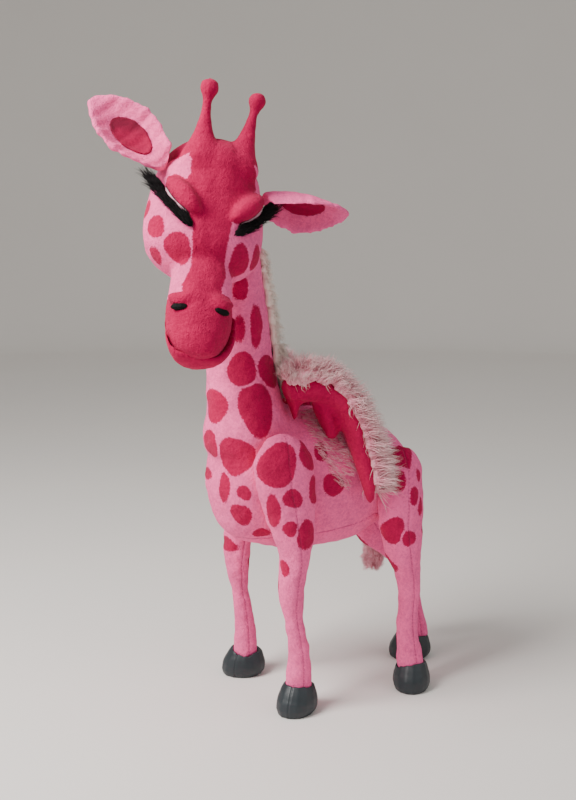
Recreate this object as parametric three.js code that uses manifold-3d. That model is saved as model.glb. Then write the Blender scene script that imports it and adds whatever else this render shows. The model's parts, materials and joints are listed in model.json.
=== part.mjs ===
// A standing plush giraffe with two small wings, turned head and wired legs.
// Millimetres, +Z up, origin on the floor under the middle of the toy.
// The giraffe faces -Y, and its left side is +X.
import * as THREE from "three";
import { mergeVertices } from "three/addons/utils/BufferGeometryUtils.js";
import Module from "manifold-3d";

const wasm = await Module();
wasm.setup();

// Driving dimensions: lengths in millimetres, angles in degrees

// Gaps between pieces
const seatGap = 0.3;
const sweepGap = 0.5;
const socketGap = 0.8;
const channelGap = 0.4;

// Body
const torsoFrontAlong = -116;
const torsoRearAlong = 68;
const torsoAxisHeight = 176;
const torsoHalfWidth = 37;
const torsoHalfHeight = 57;
const torsoFrontRoundLength = 34;
const torsoRearRoundLength = 42;

// Neck, and the two joints at its ends
const neckBaseAlong = -80;
const neckBaseHeight = 188;
const neckHeight = 202;
const neckSeamHeight = 234;
const neckTopForward = 21;
const neckHalfWidth = 26;
const neckTopRoundLength = 26;
const stumpRise = 30;
const neckLeanForward = 14;
const neckLeanBack = 6;
const turnAxisOffset = 1;

// Head: the middle of the skull, and how the head is turned, hung and tilted
const skullSideOffset = 8;
const skullFrontOffset = -119.5;
const skullHeight = 396;
const headTurn = 83;
const headDroop = 60;
const headTilt = 12.5;
const headPollLength = 42;
const headCheekLength = 70;
const headHalfWidth = 44;
const headHalfHeight = 38;
const headPollRoundLength = 36;
const headCheekRoundLength = 24;

// Muzzle and lower lip
const muzzleRootLength = 48;
const muzzleTipLength = 127.5;
const muzzleHalfWidth = 23.5;
const muzzleHalfHeight = 20;
const muzzleTipRoundLength = 27;
const lipRootLength = 84;
const lipTipLength = 132;
const lipDrop = 8;
const lipHalfWidth = 23;
const lipSideShift = 2;
const lipHalfHeight = 14;
const lipTipRoundLength = 26;
const nostrilSideOffset = 14.5;
const nostrilSideShift = 3.5;
const nostrilLength = 96;
const nostrilHalfWidth = 6.2;
const nostrilHalfHeight = 2.6;
const nostrilRollRadius = 3.8;

// Eyes: a padded upper lid, a slim lower lid and a strip of lashes
const eyeSideOffset = 25.5;
const eyeSideShift = 1.5;
const eyeLength = 24.5;
const eyeSlant = 45;
const lidHalfLength = 18;
const lidHalfWidth = 7.3;
const lidHalfHeight = 9;
const lidForward = 3.4;
const lowerLidRadius = 2.2;
const lashLength = 50;
const lashWidth = 9;
const lashHalfThickness = 0.9;

// Horns
const hornSideOffset = 15.5;
const hornBack = 18;
const hornHeight = 64;
const hornSink = 18;
const hornLean = 30;
const hornSpread = 4;
const hornFootRadius = 15;
const hornKnobRadius = 6.8;

// Ears
const earSideOffset = 36;
const earBack = 2;
const earLift = 18;
const earLength = 72;
const earHalfThickness = 3;
const liningThickness = 1.2;

// Legs and hooves
const shoulderSideOffset = 40;
const shoulderAlong = -71;
const shoulderHeight = 172;
const hipSideOffset = 36.5;
const hipAlong = 32;
const hipHeight = 160;
const frontPadHeight = 224;
const rearPadHeight = 205;
const legEndHeight = 12;
const frontLegHalfDepth = 24;
const rearLegHalfDepth = 25;
const legHalfWidth = 14;
const legSwing = 12;
const hoofHeight = 22;
const hoofHalfWidth = 15.5;
const hoofHalfLength = 18.5;
const hoofFrontPeak = 3;
const toeShift = 4.5;

// Where each sole stands, how far its toe turns to the giraffe's left, how far its knee is bent back
// and how far its thigh reaches forward
const stance = {
  front_leg_left: { across: 36.7, along: -59.6, toeTurn: 29, kneeBack: 0, thighForward: 0 },
  front_leg_right: { across: -52.1, along: -66.9, toeTurn: -26, kneeBack: -5, thighForward: 6 },
  rear_leg_left: { across: 37.4, along: 45.9, toeTurn: 53, kneeBack: 0, thighForward: 0 },
  rear_leg_right: { across: -22.2, along: 80.4, toeTurn: -28, kneeBack: 20, thighForward: 15 },
};

// How each ear is folded and set: its half width and how deep it cups, how far it is raised
// and rolled towards the face, and how far it flexes down and up from there
const foldedEarHalfWidth = 16.5;
const foldedEarCupDepth = 17;
const openEarHalfWidth = 17.5;
const openEarCupDepth = 11;
const earSet = {
  left: { halfWidth: foldedEarHalfWidth, cup: foldedEarCupDepth, raise: 1, roll: 76, drop: 12, lift: 35 },
  right: { halfWidth: openEarHalfWidth, cup: openEarCupDepth, raise: 37, roll: 12, drop: 40, lift: 6 },
};

// Wings
const wingSpan = 100;
const wingRootSideOffset = 22;
const wingRootAlong = -60;
const wingHalfChord = 14;
const wingHalfThickness = 6.5;
const wingSpread = 50;
const furDepth = 10;

// Mane and tail
const manePile = 7;
const maneHalfWidth = 13;
const maneFootRise = 2;
const maneTopHeight = 362;
const tailRootAlong = 64;
const tailRootHeight = 182;
const tailRadius = 5;
const tailReach = 58;
const tuftRadius = 9;
const tuftLength = 40;
const tailSwingOut = 25;
const tailSwingIn = 5;

// Bendable wire inside
const wireRadius = 1.6;
const wireElbow = 6;
const wireTailEnd = 12;
const wireIntoHead = 12;
const wireIntoHoof = 5;
const crossWireShort = 1;

const degree = Math.PI / 180;
const fullTurn = 2 * Math.PI;

// Finishes
const pinkPlush = finish(0xc88caf, 0.95);
const crimsonPlush = finish(0xa52355, 0.9);
const furPile = finish(0xcda0aa, 1);
const maneFur = finish(0xaf9b8c, 1);
const hoofLeather = finish(0x2d373f, 0.45);
const lashBlack = finish(0x231e23, 0.7);
const wireSteel = finish(0x8a8d90, 0.4, 0.9);

/** A surface colour with its roughness and metalness. */
function finish(color, roughness, metalness = 0) {
  return () => new THREE.MeshStandardMaterial({ color, roughness, metalness });
}

/** Values of a table's columns at a place, on smooth curves through its rows. */
function valuesAt(table, place) {
  const last = table.length - 1;
  let row = 0;
  while (row < last - 1 && place > table[row + 1][0]) {
    row++;
  }
  const before = table[Math.max(row - 1, 0)];
  const here = table[row];
  const next = table[row + 1];
  const after = table[Math.min(row + 2, last)];
  const span = next[0] - here[0];
  const s = Math.min(Math.max((place - here[0]) / span, 0), 1);
  return here.slice(1).map((value, column) => {
    const k = column + 1;
    const slopeHere = ((next[k] - before[k]) / (next[0] - before[0])) * span;
    const slopeNext = ((after[k] - here[k]) / (after[0] - here[0])) * span;
    const rise = next[k] - value;
    const square = 3 * rise - 2 * slopeHere - slopeNext;
    const cube = slopeHere + slopeNext - 2 * rise;
    return value + s * (slopeHere + s * (square + s * cube));
  });
}

/** How full a form is near its rounded ends: 0 at the very end, 1 past the rounding. */
function roundness(place, startShare, endShare) {
  const start = startShare > 0 ? Math.max(0, 1 - place / startShare) : 0;
  const end = endShare > 0 ? Math.max(0, 1 - (1 - place) / endShare) : 0;
  return Math.sqrt(1 - start * start) * Math.sqrt(1 - end * end);
}

/** Places of the rings along a form, closer together towards a rounded end. */
function ringPlaces(rings, flatStart, flatEnd) {
  const places = [];
  const first = flatStart ? 0 : 1;
  const count = rings - 1 + (flatStart ? 0 : 1) + (flatEnd ? 0 : 1);
  for (let i = 0; i < rings; i++) {
    const s = (i + first) / count;
    const eased = (1 - Math.cos(Math.PI * s)) / 2;
    places.push(flatStart && flatEnd ? s : (s + 2 * eased) / 3);
  }
  return places;
}

/**
 * A closed form of rings carried along a middle line.
 * middle(place) gives the ring's centre, and section(place, angle) gives how far a point lies
 * from it across the side direction and square to it.
 */
function loft({ middle, side, section, rings, sides, flatStart = false, flatEnd = false }) {
  const points = [middle(0)];
  const across = new THREE.Vector3();
  const square = new THREE.Vector3();
  const step = 0.001;
  for (const place of ringPlaces(rings, flatStart, flatEnd)) {
    const centre = middle(place);
    const ahead = middle(Math.min(place + step, 1)).sub(middle(Math.max(place - step, 0))).normalize();
    across.copy(side).addScaledVector(ahead, -side.dot(ahead)).normalize();
    square.crossVectors(ahead, across);
    for (let j = 0; j < sides; j++) {
      const [a, b] = section(place, (j / sides) * fullTurn);
      points.push(centre.clone().addScaledVector(across, a).addScaledVector(square, b));
    }
  }
  points.push(middle(1));
  const end = points.length - 1;
  const faces = [];
  for (let j = 0; j < sides; j++) {
    const next = (j + 1) % sides;
    faces.push(0, 1 + next, 1 + j);
    for (let i = 0; i < rings - 1; i++) {
      const a = 1 + i * sides + j;
      const b = 1 + i * sides + next;
      faces.push(a, b, b + sides, a, b + sides, a + sides);
    }
    faces.push(end, end - sides + j, end - sides + next);
  }
  const geometry = new THREE.BufferGeometry().setFromPoints(points);
  geometry.setIndex(faces);
  return geometry;
}

/** A point between two others. */
function between(a, b, share) {
  return a + (b - a) * share;
}

/** A tube of wire through the points given. */
function wireAlong(points) {
  const path = new THREE.CatmullRomCurve3(points, false, "centripetal");
  const outline = new THREE.Shape().absarc(0, 0, wireRadius, 0, fullTurn);
  const steps = 2 * (points.length - 1);
  const settings = { steps, curveSegments: 3, bevelEnabled: false, extrudePath: path };
  return new THREE.ExtrudeGeometry(outline, settings);
}

/** The way for a wire through what it is threaded in. */
function channelAlong(points) {
  return grown(wireAlong(points), channelGap);
}

/** A geometry with only positions, its shared corners merged. */
function welded(geometry) {
  const bare = geometry.clone();
  bare.deleteAttribute("normal");
  bare.deleteAttribute("uv");
  return mergeVertices(bare);
}

/** The geometry with every corner moved out along its normal. */
function grown(geometry, amount) {
  const out = welded(geometry);
  out.computeVertexNormals();
  const place = out.getAttribute("position");
  const normal = out.getAttribute("normal");
  for (let i = 0; i < place.count; i++) {
    place.setXYZ(
      i,
      place.getX(i) + amount * normal.getX(i),
      place.getY(i) + amount * normal.getY(i),
      place.getZ(i) + amount * normal.getZ(i),
    );
  }
  out.deleteAttribute("normal");
  return out;
}

/** The geometry mirrored from the giraffe's left side to its right. */
function mirrored(geometry) {
  const out = welded(geometry);
  out.scale(-1, 1, 1);
  const index = out.getIndex().array;
  for (let i = 0; i < index.length; i += 3) {
    [index[i + 1], index[i + 2]] = [index[i + 2], index[i + 1]];
  }
  return out;
}

/** The geometry turned about an axis through a point. */
function turned(geometry, point, axis, degrees) {
  const out = geometry.clone();
  out.translate(-point.x, -point.y, -point.z);
  out.applyQuaternion(new THREE.Quaternion().setFromAxisAngle(axis, degrees * degree));
  out.translate(point.x, point.y, point.z);
  return out;
}

/** A geometry as a solid for cutting and joining. */
function solid(geometry) {
  const bare = welded(geometry);
  return new wasm.Manifold(
    new wasm.Mesh({
      numProp: 3,
      vertProperties: new Float32Array(bare.getAttribute("position").array),
      triVerts: new Uint32Array(bare.getIndex().array),
    }),
  );
}

/** A cut solid as a geometry again. */
function shape(made) {
  const mesh = made.getMesh();
  const geometry = new THREE.BufferGeometry();
  geometry.setAttribute("position", new THREE.BufferAttribute(new Float32Array(mesh.vertProperties), 3));
  geometry.setIndex(Array.from(mesh.triVerts));
  return geometry;
}

/** Two geometries joined into one. */
function joined(one, other) {
  return shape(solid(one).add(solid(other)));
}

/** What two geometries have in common. */
function shared(one, other) {
  return shape(solid(one).intersect(solid(other)));
}

/** The geometry with others cut away from it; small loose crumbs of the cut are left out. */
function cut(geometry, ...tools) {
  let made = solid(geometry);
  for (const tool of tools) {
    made = made.subtract(solid(tool));
  }
  const pieces = made.decompose();
  pieces.sort((a, b) => b.volume() - a.volume());
  return shape(pieces[0]);
}

/** The geometry repeated at each angle that a joint carries it to. */
function swept(geometry, point, axis, angles) {
  return angles.map((angle) => turned(geometry, point, axis, angle));
}

const left = new THREE.Vector3(1, 0, 0);
const up = new THREE.Vector3(0, 0, 1);

// Torso: rings from the chest to the rump, as shares of the torso's length and sizes
const torsoStationShares = [
  // place, lift, width, height above, height below
  [0, 0.34, 0.9, 0.6, 0.64],
  [0.1, 0.25, 0.96, 0.78, 0.8],
  [0.23, 0.12, 1, 0.95, 0.94],
  [0.41, 0.03, 1, 1.05, 1],
  [0.6, -0.07, 0.98, 0.95, 0.9],
  [0.74, -0.1, 0.96, 0.86, 0.74],
  [0.85, -0.18, 0.96, 0.68, 0.55],
  [0.92, -0.27, 0.98, 0.56, 0.48],
  [1, -0.4, 0.9, 0.46, 0.5],
];
const torsoLength = torsoRearAlong - torsoFrontAlong;
const torsoShareAt = (along) => (along - torsoFrontAlong) / torsoLength;
const torsoFrontShare = torsoFrontRoundLength / torsoLength;
const torsoRearShare = torsoRearRoundLength / torsoLength;
const torsoRoundness = (t) => roundness(t, torsoFrontShare, torsoRearShare);
/** How high the torso's back lies beside its middle line, at a place along it. */
function torsoTopAt(across, along) {
  const t = torsoShareAt(along);
  const [lift, width, above] = valuesAt(torsoStationShares, t);
  const full = torsoRoundness(t);
  const share = Math.min(Math.abs(across) / (torsoHalfWidth * width * full), 1);
  return torsoAxisHeight + torsoHalfHeight * (lift + above * full * Math.sqrt(1 - share * share));
}
const barrel = (rings, sides) =>
  loft({
    rings,
    sides,
    side: left,
    middle: (t) => {
      const [lift] = valuesAt(torsoStationShares, t);
      const height = torsoAxisHeight + lift * torsoHalfHeight;
      return new THREE.Vector3(0, torsoFrontAlong + t * torsoLength, height);
    },
    section: (t, angle) => {
      const [, width, above, below] = valuesAt(torsoStationShares, t);
      const full = torsoRoundness(t);
      // Square to the body's length and its left side is down
      const height = Math.sin(angle) > 0 ? below : above;
      return [
        torsoHalfWidth * width * full * Math.cos(angle),
        torsoHalfHeight * height * full * Math.sin(angle),
      ];
    },
  });

// Neck: rings from inside the shoulders up into the head, as shares of the neck's sizes
const neckStationShares = [
  // place, forward, width, depth
  [0, 0, 1.38, 1.6],
  [0.18, 0.17, 1.3, 1.42],
  [0.36, 0.44, 1.06, 1.08],
  [0.55, 0.6, 0.98, 0.98],
  [0.77, 0.93, 0.95, 0.95],
  [0.87, 1, 0.94, 0.94],
  [1, 1, 0.94, 0.94],
];
const neckMiddle = (t) => {
  const [forward] = valuesAt(neckStationShares, t);
  return new THREE.Vector3(
    turnAxisOffset * forward,
    neckBaseAlong - forward * neckTopForward,
    neckBaseHeight + t * neckHeight,
  );
};
const neckRing = (t, angle, full, extra = 0) => {
  const [, width, depth] = valuesAt(neckStationShares, t);
  return [
    (neckHalfWidth * width * full + extra) * Math.cos(angle),
    (neckHalfWidth * depth * full + extra) * Math.sin(angle),
  ];
};
const neckSeamShare = (neckSeamHeight - neckBaseHeight) / neckHeight;
const neckHinge = neckMiddle(neckSeamShare);

// The shoulders end in a round stump under the neck, its top centred on the neck's hinge
const stumpTopShare = neckSeamShare + stumpRise / neckHeight;
const stumpRootShare = 0.4;
const stump = (rings, sides) =>
  loft({
    rings,
    sides,
    side: left,
    middle: (s) => neckMiddle(s * stumpTopShare),
    section: (s, angle) => {
      const full = roundness(s, stumpRootShare, stumpRise / (stumpTopShare * neckHeight));
      return neckRing(s * stumpTopShare, angle, full, -seatGap);
    },
  });
const torsoForm = joined(barrel(18, 22), stump(8, 18));

// Fewer, wider rings of the same forms, to clear a way for what moves against the torso
const coarseRings = 13;
const coarseSides = 16;
const coarseShare = 1 - Math.cos(Math.PI / coarseSides);
const wayShare = 1.3;
const wayGap = wayShare * sweepGap + coarseShare * torsoHalfWidth;
const barrelWay = grown(barrel(coarseRings, coarseSides), wayGap);
const stumpWay = grown(stump(coarseRings, coarseSides), wayGap);

const neckStartShare = neckSeamShare - seatGap / neckHeight;
const neckTopRoundShare = neckTopRoundLength / neckHeight;
const neckSides = 20;
const neckForm = loft({
  rings: 13,
  sides: neckSides,
  side: left,
  flatStart: true,
  middle: (s) => neckMiddle(between(neckStartShare, 1, s)),
  section: (s, angle) => {
    const t = between(neckStartShare, 1, s);
    return neckRing(t, angle, roundness(t, 0, neckTopRoundShare));
  },
});

// Head: a skull with full cheeks, then a blunt muzzle, in the head's own frame.
// The head's own frame has its origin in the middle of the skull, its nose towards -Y
// and its forehead towards +Z.
const headGroup = new THREE.Group();
headGroup.position.set(skullSideOffset, skullFrontOffset, skullHeight);
headGroup.rotation.set(headDroop * degree, headTilt * degree, headTurn * degree, "ZYX");
headGroup.updateMatrixWorld(true);
const intoHead = headGroup.matrixWorld.clone().invert();

const headStationShares = [
  // place from poll to cheeks, lift, width, forehead, jaw
  [0, -0.02, 0.84, 1, 0.9],
  [0.24, 0, 0.84, 1.1, 0.92],
  [0.38, 0, 0.92, 1.08, 1],
  [0.62, 0, 1, 0.92, 1],
  [0.78, 0, 0.96, 0.8, 0.92],
  [0.9, 0, 0.88, 0.72, 0.82],
  [1, 0, 0.8, 0.64, 0.7],
];
const headLength = headPollLength + headCheekLength;
const headForm = loft({
  rings: 18,
  sides: 24,
  side: left,
  middle: (t) => {
    const [lift] = valuesAt(headStationShares, t);
    return new THREE.Vector3(0, headPollLength - t * headLength, lift * headHalfHeight);
  },
  section: (t, angle) => {
    const [, width, forehead, jaw] = valuesAt(headStationShares, t);
    const full = roundness(t, headPollRoundLength / headLength, headCheekRoundLength / headLength);
    const height = Math.sin(angle) > 0 ? forehead : jaw;
    return [headHalfWidth * width * full * Math.cos(angle), headHalfHeight * height * full * Math.sin(angle)];
  },
});

const muzzleStationShares = [
  // place from root to tip, lift, width, above, below
  [0, 0.05, 0.92, 0.95, 0.9],
  [0.3, 0.05, 0.94, 0.98, 0.9],
  [0.6, -0.05, 1.02, 1, 0.9],
  [0.8, -0.1, 1, 0.96, 0.85],
  [1, -0.2, 0.92, 0.85, 0.8],
];
const muzzleRootShare = 0.1;
const muzzleLength = muzzleTipLength - muzzleRootLength;
const muzzleForm = loft({
  rings: 11,
  sides: 18,
  side: left,
  middle: (t) => {
    const [lift] = valuesAt(muzzleStationShares, t);
    return new THREE.Vector3(0, -muzzleRootLength - t * muzzleLength, lift * muzzleHalfHeight);
  },
  section: (t, angle) => {
    const [, width, above, below] = valuesAt(muzzleStationShares, t);
    const blunt = Math.sqrt(roundness(t, 0, muzzleTipRoundLength / muzzleLength));
    const full = blunt * roundness(t, muzzleRootShare, 0);
    const height = Math.sin(angle) > 0 ? above : below;
    return [
      muzzleHalfWidth * width * full * Math.cos(angle),
      muzzleHalfHeight * height * full * Math.sin(angle),
    ];
  },
});
const lipRootShare = 0.3;
const lipLength = lipTipLength - lipRootLength;
const lipForm = loft({
  rings: 8,
  sides: 16,
  side: left,
  middle: (t) => new THREE.Vector3(lipSideShift, -lipRootLength - t * lipLength, -lipDrop),
  section: (t, angle) => {
    const full = Math.sqrt(roundness(t, lipRootShare, lipTipRoundLength / lipLength));
    return [lipHalfWidth * full * Math.cos(angle), lipHalfHeight * full * Math.sin(angle)];
  },
});

// The neck's round top turns in a socket in the head, round about the turning axis
const socketStartShare = 0.62;
const socketForm = loft({
  rings: 9,
  sides: neckSides,
  side: left,
  flatStart: true,
  middle: (s) => {
    const t = between(socketStartShare, 1, s);
    return new THREE.Vector3(
      turnAxisOffset,
      neckBaseAlong - neckTopForward,
      neckBaseHeight + t * neckHeight + socketGap * s,
    );
  },
  section: (s, angle) => {
    const t = between(socketStartShare, 1, s);
    const [forward] = valuesAt(neckStationShares, t);
    const offset = Math.abs(1 - forward) * neckTopForward;
    return neckRing(t, angle, roundness(t, 0, neckTopRoundShare), offset + socketGap);
  },
});
const aroundHead = grown(headForm, seatGap);
const muzzle = cut(muzzleForm, aroundHead);
const lowerLip = cut(lipForm, aroundHead, grown(muzzleForm, seatGap));

/** The height of the head's forehead side above a place in the head's own frame. */
function foreheadAt(across, along) {
  const t = (headPollLength - along) / headLength;
  const [lift, width, forehead] = valuesAt(headStationShares, t);
  const full = roundness(t, headPollRoundLength / headLength, headCheekRoundLength / headLength);
  const share = Math.min(Math.abs(across) / (headHalfWidth * width * full), 1);
  return headHalfHeight * (lift + forehead * full * Math.sqrt(1 - share * share));
}

// Horns: a flared foot, a slim stalk and a round knob, spun about their own axis
const hornKnobHeight = hornHeight - hornKnobRadius;
const hornProfileShares = [
  // share of the way up to the knob, share of the foot's radius
  [0, 0.85],
  [0.155, 0.96],
  [0.25, 0.8],
  [0.345, 0.61],
  [0.5, 0.42],
  [0.65, 0.29],
  [0.82, 0.22],
];
const hornProfile = [new THREE.Vector2(0, 0)];
for (const [rise, share] of hornProfileShares) {
  hornProfile.push(new THREE.Vector2(hornFootRadius * share, hornKnobHeight * rise));
}
const knobSteps = 5;
const knobFootAngle = -50;
const knobTopAngle = 90;
for (let i = 0; i <= knobSteps; i++) {
  const angle = between(knobFootAngle, knobTopAngle, i / knobSteps) * degree;
  const radius = i === knobSteps ? 0 : hornKnobRadius * Math.cos(angle);
  hornProfile.push(new THREE.Vector2(radius, hornKnobHeight + hornKnobRadius * Math.sin(angle)));
}
function hornOn(sideSign) {
  const horn = new THREE.LatheGeometry(hornProfile, 14);
  horn.translate(0, -hornSink, 0);
  horn.rotateX(hornLean * degree);
  horn.rotateZ(-sideSign * hornSpread * degree);
  const foot = foreheadAt(hornSideOffset, hornBack);
  horn.translate(sideSign * hornSideOffset, hornBack, foot);
  return cut(horn, aroundHead);
}

// Ears: a cupped leaf, with a thin lining patch inside the cup
const earStationShares = [
  // place from base to tip, width, thickness, cup
  [0, 0.42, 1.3, 0.9],
  [0.2, 0.72, 1.2, 1],
  [0.45, 1, 1, 0.9],
  [0.7, 0.86, 0.9, 0.6],
  [0.88, 0.56, 0.8, 0.3],
  [1, 0.42, 0.7, 0.1],
];
// How much fuller the seamed rim is than the middle
const earRimShare = 1.6;
const earBaseRoundShare = 0.08;
const earTipRoundShare = 0.2;
const liningStartShare = 0.2;
const liningEndShare = 0.72;
const liningWidthShare = 0.53;
const liningRoundShare = 0.45;
const liningCoverShare = 4;
const earMiddle = (t) => new THREE.Vector3(t * earLength, 0, 0);
const back = new THREE.Vector3(0, 1, 0);
const earForm = ({ halfWidth, cup }) =>
  loft({
    rings: 12,
    sides: 14,
    side: back,
    middle: earMiddle,
    section: (t, angle) => {
      const [width, thickness, fold] = valuesAt(earStationShares, t);
      const full = roundness(t, earBaseRoundShare, earTipRoundShare);
      const reach = Math.cos(angle);
      const rim = 1 + earRimShare * reach ** 4;
      return [
        halfWidth * width * full * reach,
        full * (earHalfThickness * thickness * rim * Math.sin(angle) + cup * fold * reach * reach),
      ];
    },
  });
// What lies over the lining's outline, from the middle of the ear's thickness out of the cup
const liningOutline = ({ halfWidth, cup }) =>
  loft({
    rings: 7,
    sides: 12,
    side: back,
    middle: (s) => earMiddle(between(liningStartShare, liningEndShare, s)),
    section: (s, angle) => {
      const [width, , fold] = valuesAt(earStationShares, between(liningStartShare, liningEndShare, s));
      const reach = liningWidthShare * roundness(s, liningRoundShare, liningRoundShare) * Math.cos(angle);
      const rise = Math.max(Math.sin(angle), 0) * liningCoverShare * earHalfThickness;
      return [halfWidth * width * reach, cup * fold * reach * reach + rise];
    },
  });

/** Where an ear stands on the head: its length along +X, its cup towards the forehead, then raised. */
function earPlace(sideSign, raise, roll) {
  const group = new THREE.Object3D();
  group.position.set(sideSign * earSideOffset, earBack, earLift);
  group.rotation.set(roll * degree, 0, sideSign * raise * degree, "ZXY");
  group.updateMatrix();
  return group.matrix;
}
function earPieces(sideSign, set) {
  const own = sideSign > 0 ? (g) => g.clone() : mirrored;
  const place = earPlace(sideSign, set.raise, set.roll);
  const hinge = new THREE.Vector3(sideSign * earSideOffset, earBack, earLift);
  const flexes = [set.drop, 0, -set.lift].map((angle) => sideSign * angle);
  const flexed = swept(aroundHead, hinge, up, flexes);
  const form = earForm(set);
  const patch = shared(grown(form, seatGap + liningThickness), liningOutline(set));
  const lining = cut(patch, grown(form, seatGap));
  return {
    ear: cut(own(form).applyMatrix4(place), ...flexed),
    lining: cut(own(lining).applyMatrix4(place), ...flexed),
  };
}

// Eyes: each has its own frame on the face, x along the closed lid towards the nose
function eyeFrame(sideSign) {
  const along = -eyeLength;
  // The sewn face sits a little to the giraffe's right
  const across = eyeSideOffset - sideSign * eyeSideShift;
  const height = foreheadAt(across, along);
  const nearby = 1;
  const slopeAcross = (foreheadAt(across + nearby, along) - foreheadAt(across - nearby, along)) / 2;
  const slopeAlong = (foreheadAt(across, along + nearby) - foreheadAt(across, along - nearby)) / 2;
  const out = new THREE.Vector3(-slopeAcross * sideSign, -slopeAlong, 1).normalize();
  const slant = eyeSlant * degree;
  const lid = new THREE.Vector3(-sideSign * Math.sin(slant), -Math.cos(slant), 0);
  lid.addScaledVector(out, -lid.dot(out)).normalize();
  const inner = new THREE.Vector3().crossVectors(out, lid).multiplyScalar(-sideSign);
  return new THREE.Matrix4()
    .makeBasis(lid, inner, out)
    .setPosition(sideSign * across, along, height);
}
function placed(geometry, matrix) {
  const out = welded(geometry).applyMatrix4(matrix);
  if (matrix.determinant() < 0) {
    const index = out.getIndex().array;
    for (let i = 0; i < index.length; i += 3) {
      [index[i + 1], index[i + 2]] = [index[i + 2], index[i + 1]];
    }
  }
  return out;
}
const lidBall = new THREE.SphereGeometry(1, 14, 10);
lidBall.scale(lidHalfLength, lidHalfWidth, lidHalfHeight);
lidBall.translate(0, lidForward, 0);
const lashStationShares = [
  // place from the outer end to the inner end, rise off the face, width
  [0, 1.3, 0.5],
  [0.12, 1, 0.9],
  [0.3, 0.8, 1],
  [0.75, 0.7, 0.95],
  [1, 0.6, 0.6],
];
// How much of the strip lies outside the lid's middle, how far it hangs below the lid and stands
// off the face in shares of its width, how it bows, and how its ends round off
const lashOuterShare = 0.52;
const lashDropShare = 0.75;
const lashRiseShare = 0.45;
const lashBowShare = 0.33;
const lashEndShare = 0.12;
const lashForm = loft({
  rings: 8,
  sides: 6,
  side: new THREE.Vector3(0, -1, lashBowShare).normalize(),
  middle: (t) => {
    const [rise] = valuesAt(lashStationShares, t);
    const place = t - lashOuterShare;
    const height = rise * lashRiseShare * lashWidth - place * place * lashBowShare * lashLength;
    return new THREE.Vector3(place * lashLength, -lashDropShare * lashWidth, height);
  },
  section: (t, angle) => {
    const [, width] = valuesAt(lashStationShares, t);
    const full = roundness(t, lashEndShare, lashEndShare);
    return [(lashWidth / 2) * width * full * Math.cos(angle), lashHalfThickness * full * Math.sin(angle)];
  },
});
// The lower lid, as shares of the upper lid's half length and of its own radius
const lowerLidReachShare = 0.86;
const lowerLidDropShare = 1.7;
const lowerLidRiseShare = 0.6;
const lowerLidEndShare = 0.5;
const lowerLidForm = loft({
  rings: 7,
  sides: 6,
  side: new THREE.Vector3(0, -1, 0),
  middle: (t) => {
    const reach = 2 * t - 1;
    return new THREE.Vector3(
      reach * lidHalfLength * lowerLidReachShare,
      -lowerLidDropShare * lowerLidRadius,
      (lowerLidRiseShare - reach * reach) * lowerLidRadius,
    );
  },
  section: (t, angle) => {
    const full = roundness(t, lowerLidEndShare, lowerLidEndShare);
    return [lowerLidRadius * full * Math.cos(angle), lowerLidRadius * full * Math.sin(angle)];
  },
});
function eyePieces(sideSign) {
  const frame = eyeFrame(sideSign);
  const lidForm = placed(lidBall, frame);
  const lowerForm = placed(lowerLidForm, frame);
  const lashes = placed(lashForm, frame);
  const aroundLid = grown(lidForm, seatGap);
  return {
    eyelid: cut(lidForm, aroundHead),
    lower: cut(lowerForm, aroundHead, aroundLid),
    lash: cut(lashes, aroundHead, aroundLid, grown(lowerForm, seatGap)),
  };
}

// Nostrils: a dark slit under a small rolled flap
const nostrilTurnShare = 0.6;
const nostrilFlapShare = 1.25;
function nostrilPieces(sideSign) {
  const t = (nostrilLength - muzzleRootLength) / muzzleLength;
  const [lift, width, above] = valuesAt(muzzleStationShares, t);
  const across = nostrilSideOffset - sideSign * nostrilSideShift;
  const share = across / (muzzleHalfWidth * width);
  const height = muzzleHalfHeight * (lift + above * Math.sqrt(1 - share * share));
  const turn = -sideSign * Math.asin(share) * nostrilTurnShare;
  const slit = new THREE.SphereGeometry(1, 10, 6);
  slit.scale(nostrilHalfWidth, nostrilHalfHeight, nostrilHalfHeight);
  slit.rotateY(-turn);
  slit.translate(sideSign * across, -nostrilLength - nostrilRollRadius, height);
  const roll = new THREE.SphereGeometry(1, 10, 6);
  roll.scale(nostrilHalfWidth + nostrilRollRadius, nostrilFlapShare * nostrilRollRadius, nostrilRollRadius);
  roll.rotateY(-turn);
  roll.translate(sideSign * across, -nostrilLength + nostrilRollRadius, height);
  const aroundMuzzle = grown(muzzleForm, seatGap);
  return {
    roll: cut(roll, aroundMuzzle, aroundHead),
    slit: cut(slit, aroundMuzzle, grown(roll, seatGap)),
  };
}

// Legs
const frontLegShares = [
  // place from pad to ankle, bow, width, depth
  [0, -0.05, 0.9, 0.9],
  [0.13, -0.05, 1, 1.08],
  [0.22, 0.1, 1, 1.02],
  [0.35, 0.22, 1, 0.8],
  [0.43, 0.24, 0.93, 0.58],
  [0.6, 0, 0.78, 0.43],
  [0.69, 0.02, 0.5, 0.29],
  [0.77, 0.08, 0.52, 0.3],
  [0.86, 0.12, 0.68, 0.39],
  [0.94, 0.05, 0.72, 0.42],
  [1, 0, 0.7, 0.42],
];
const rearLegShares = [
  // place from pad to ankle, bow, width, depth
  [0, -0.05, 0.88, 0.78],
  [0.13, -0.04, 0.95, 0.86],
  [0.23, 0, 1, 0.87],
  [0.32, 0, 1, 0.81],
  [0.45, 0.04, 0.94, 0.62],
  [0.51, 0.12, 0.86, 0.5],
  [0.6, 0.16, 0.72, 0.4],
  [0.68, 0.1, 0.62, 0.34],
  [0.8, -0.04, 0.64, 0.36],
  [0.93, 0, 0.8, 0.45],
  [1, 0, 0.8, 0.45],
];
const legPadShare = 0.13;
const legEndShare = 0.03;
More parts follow.
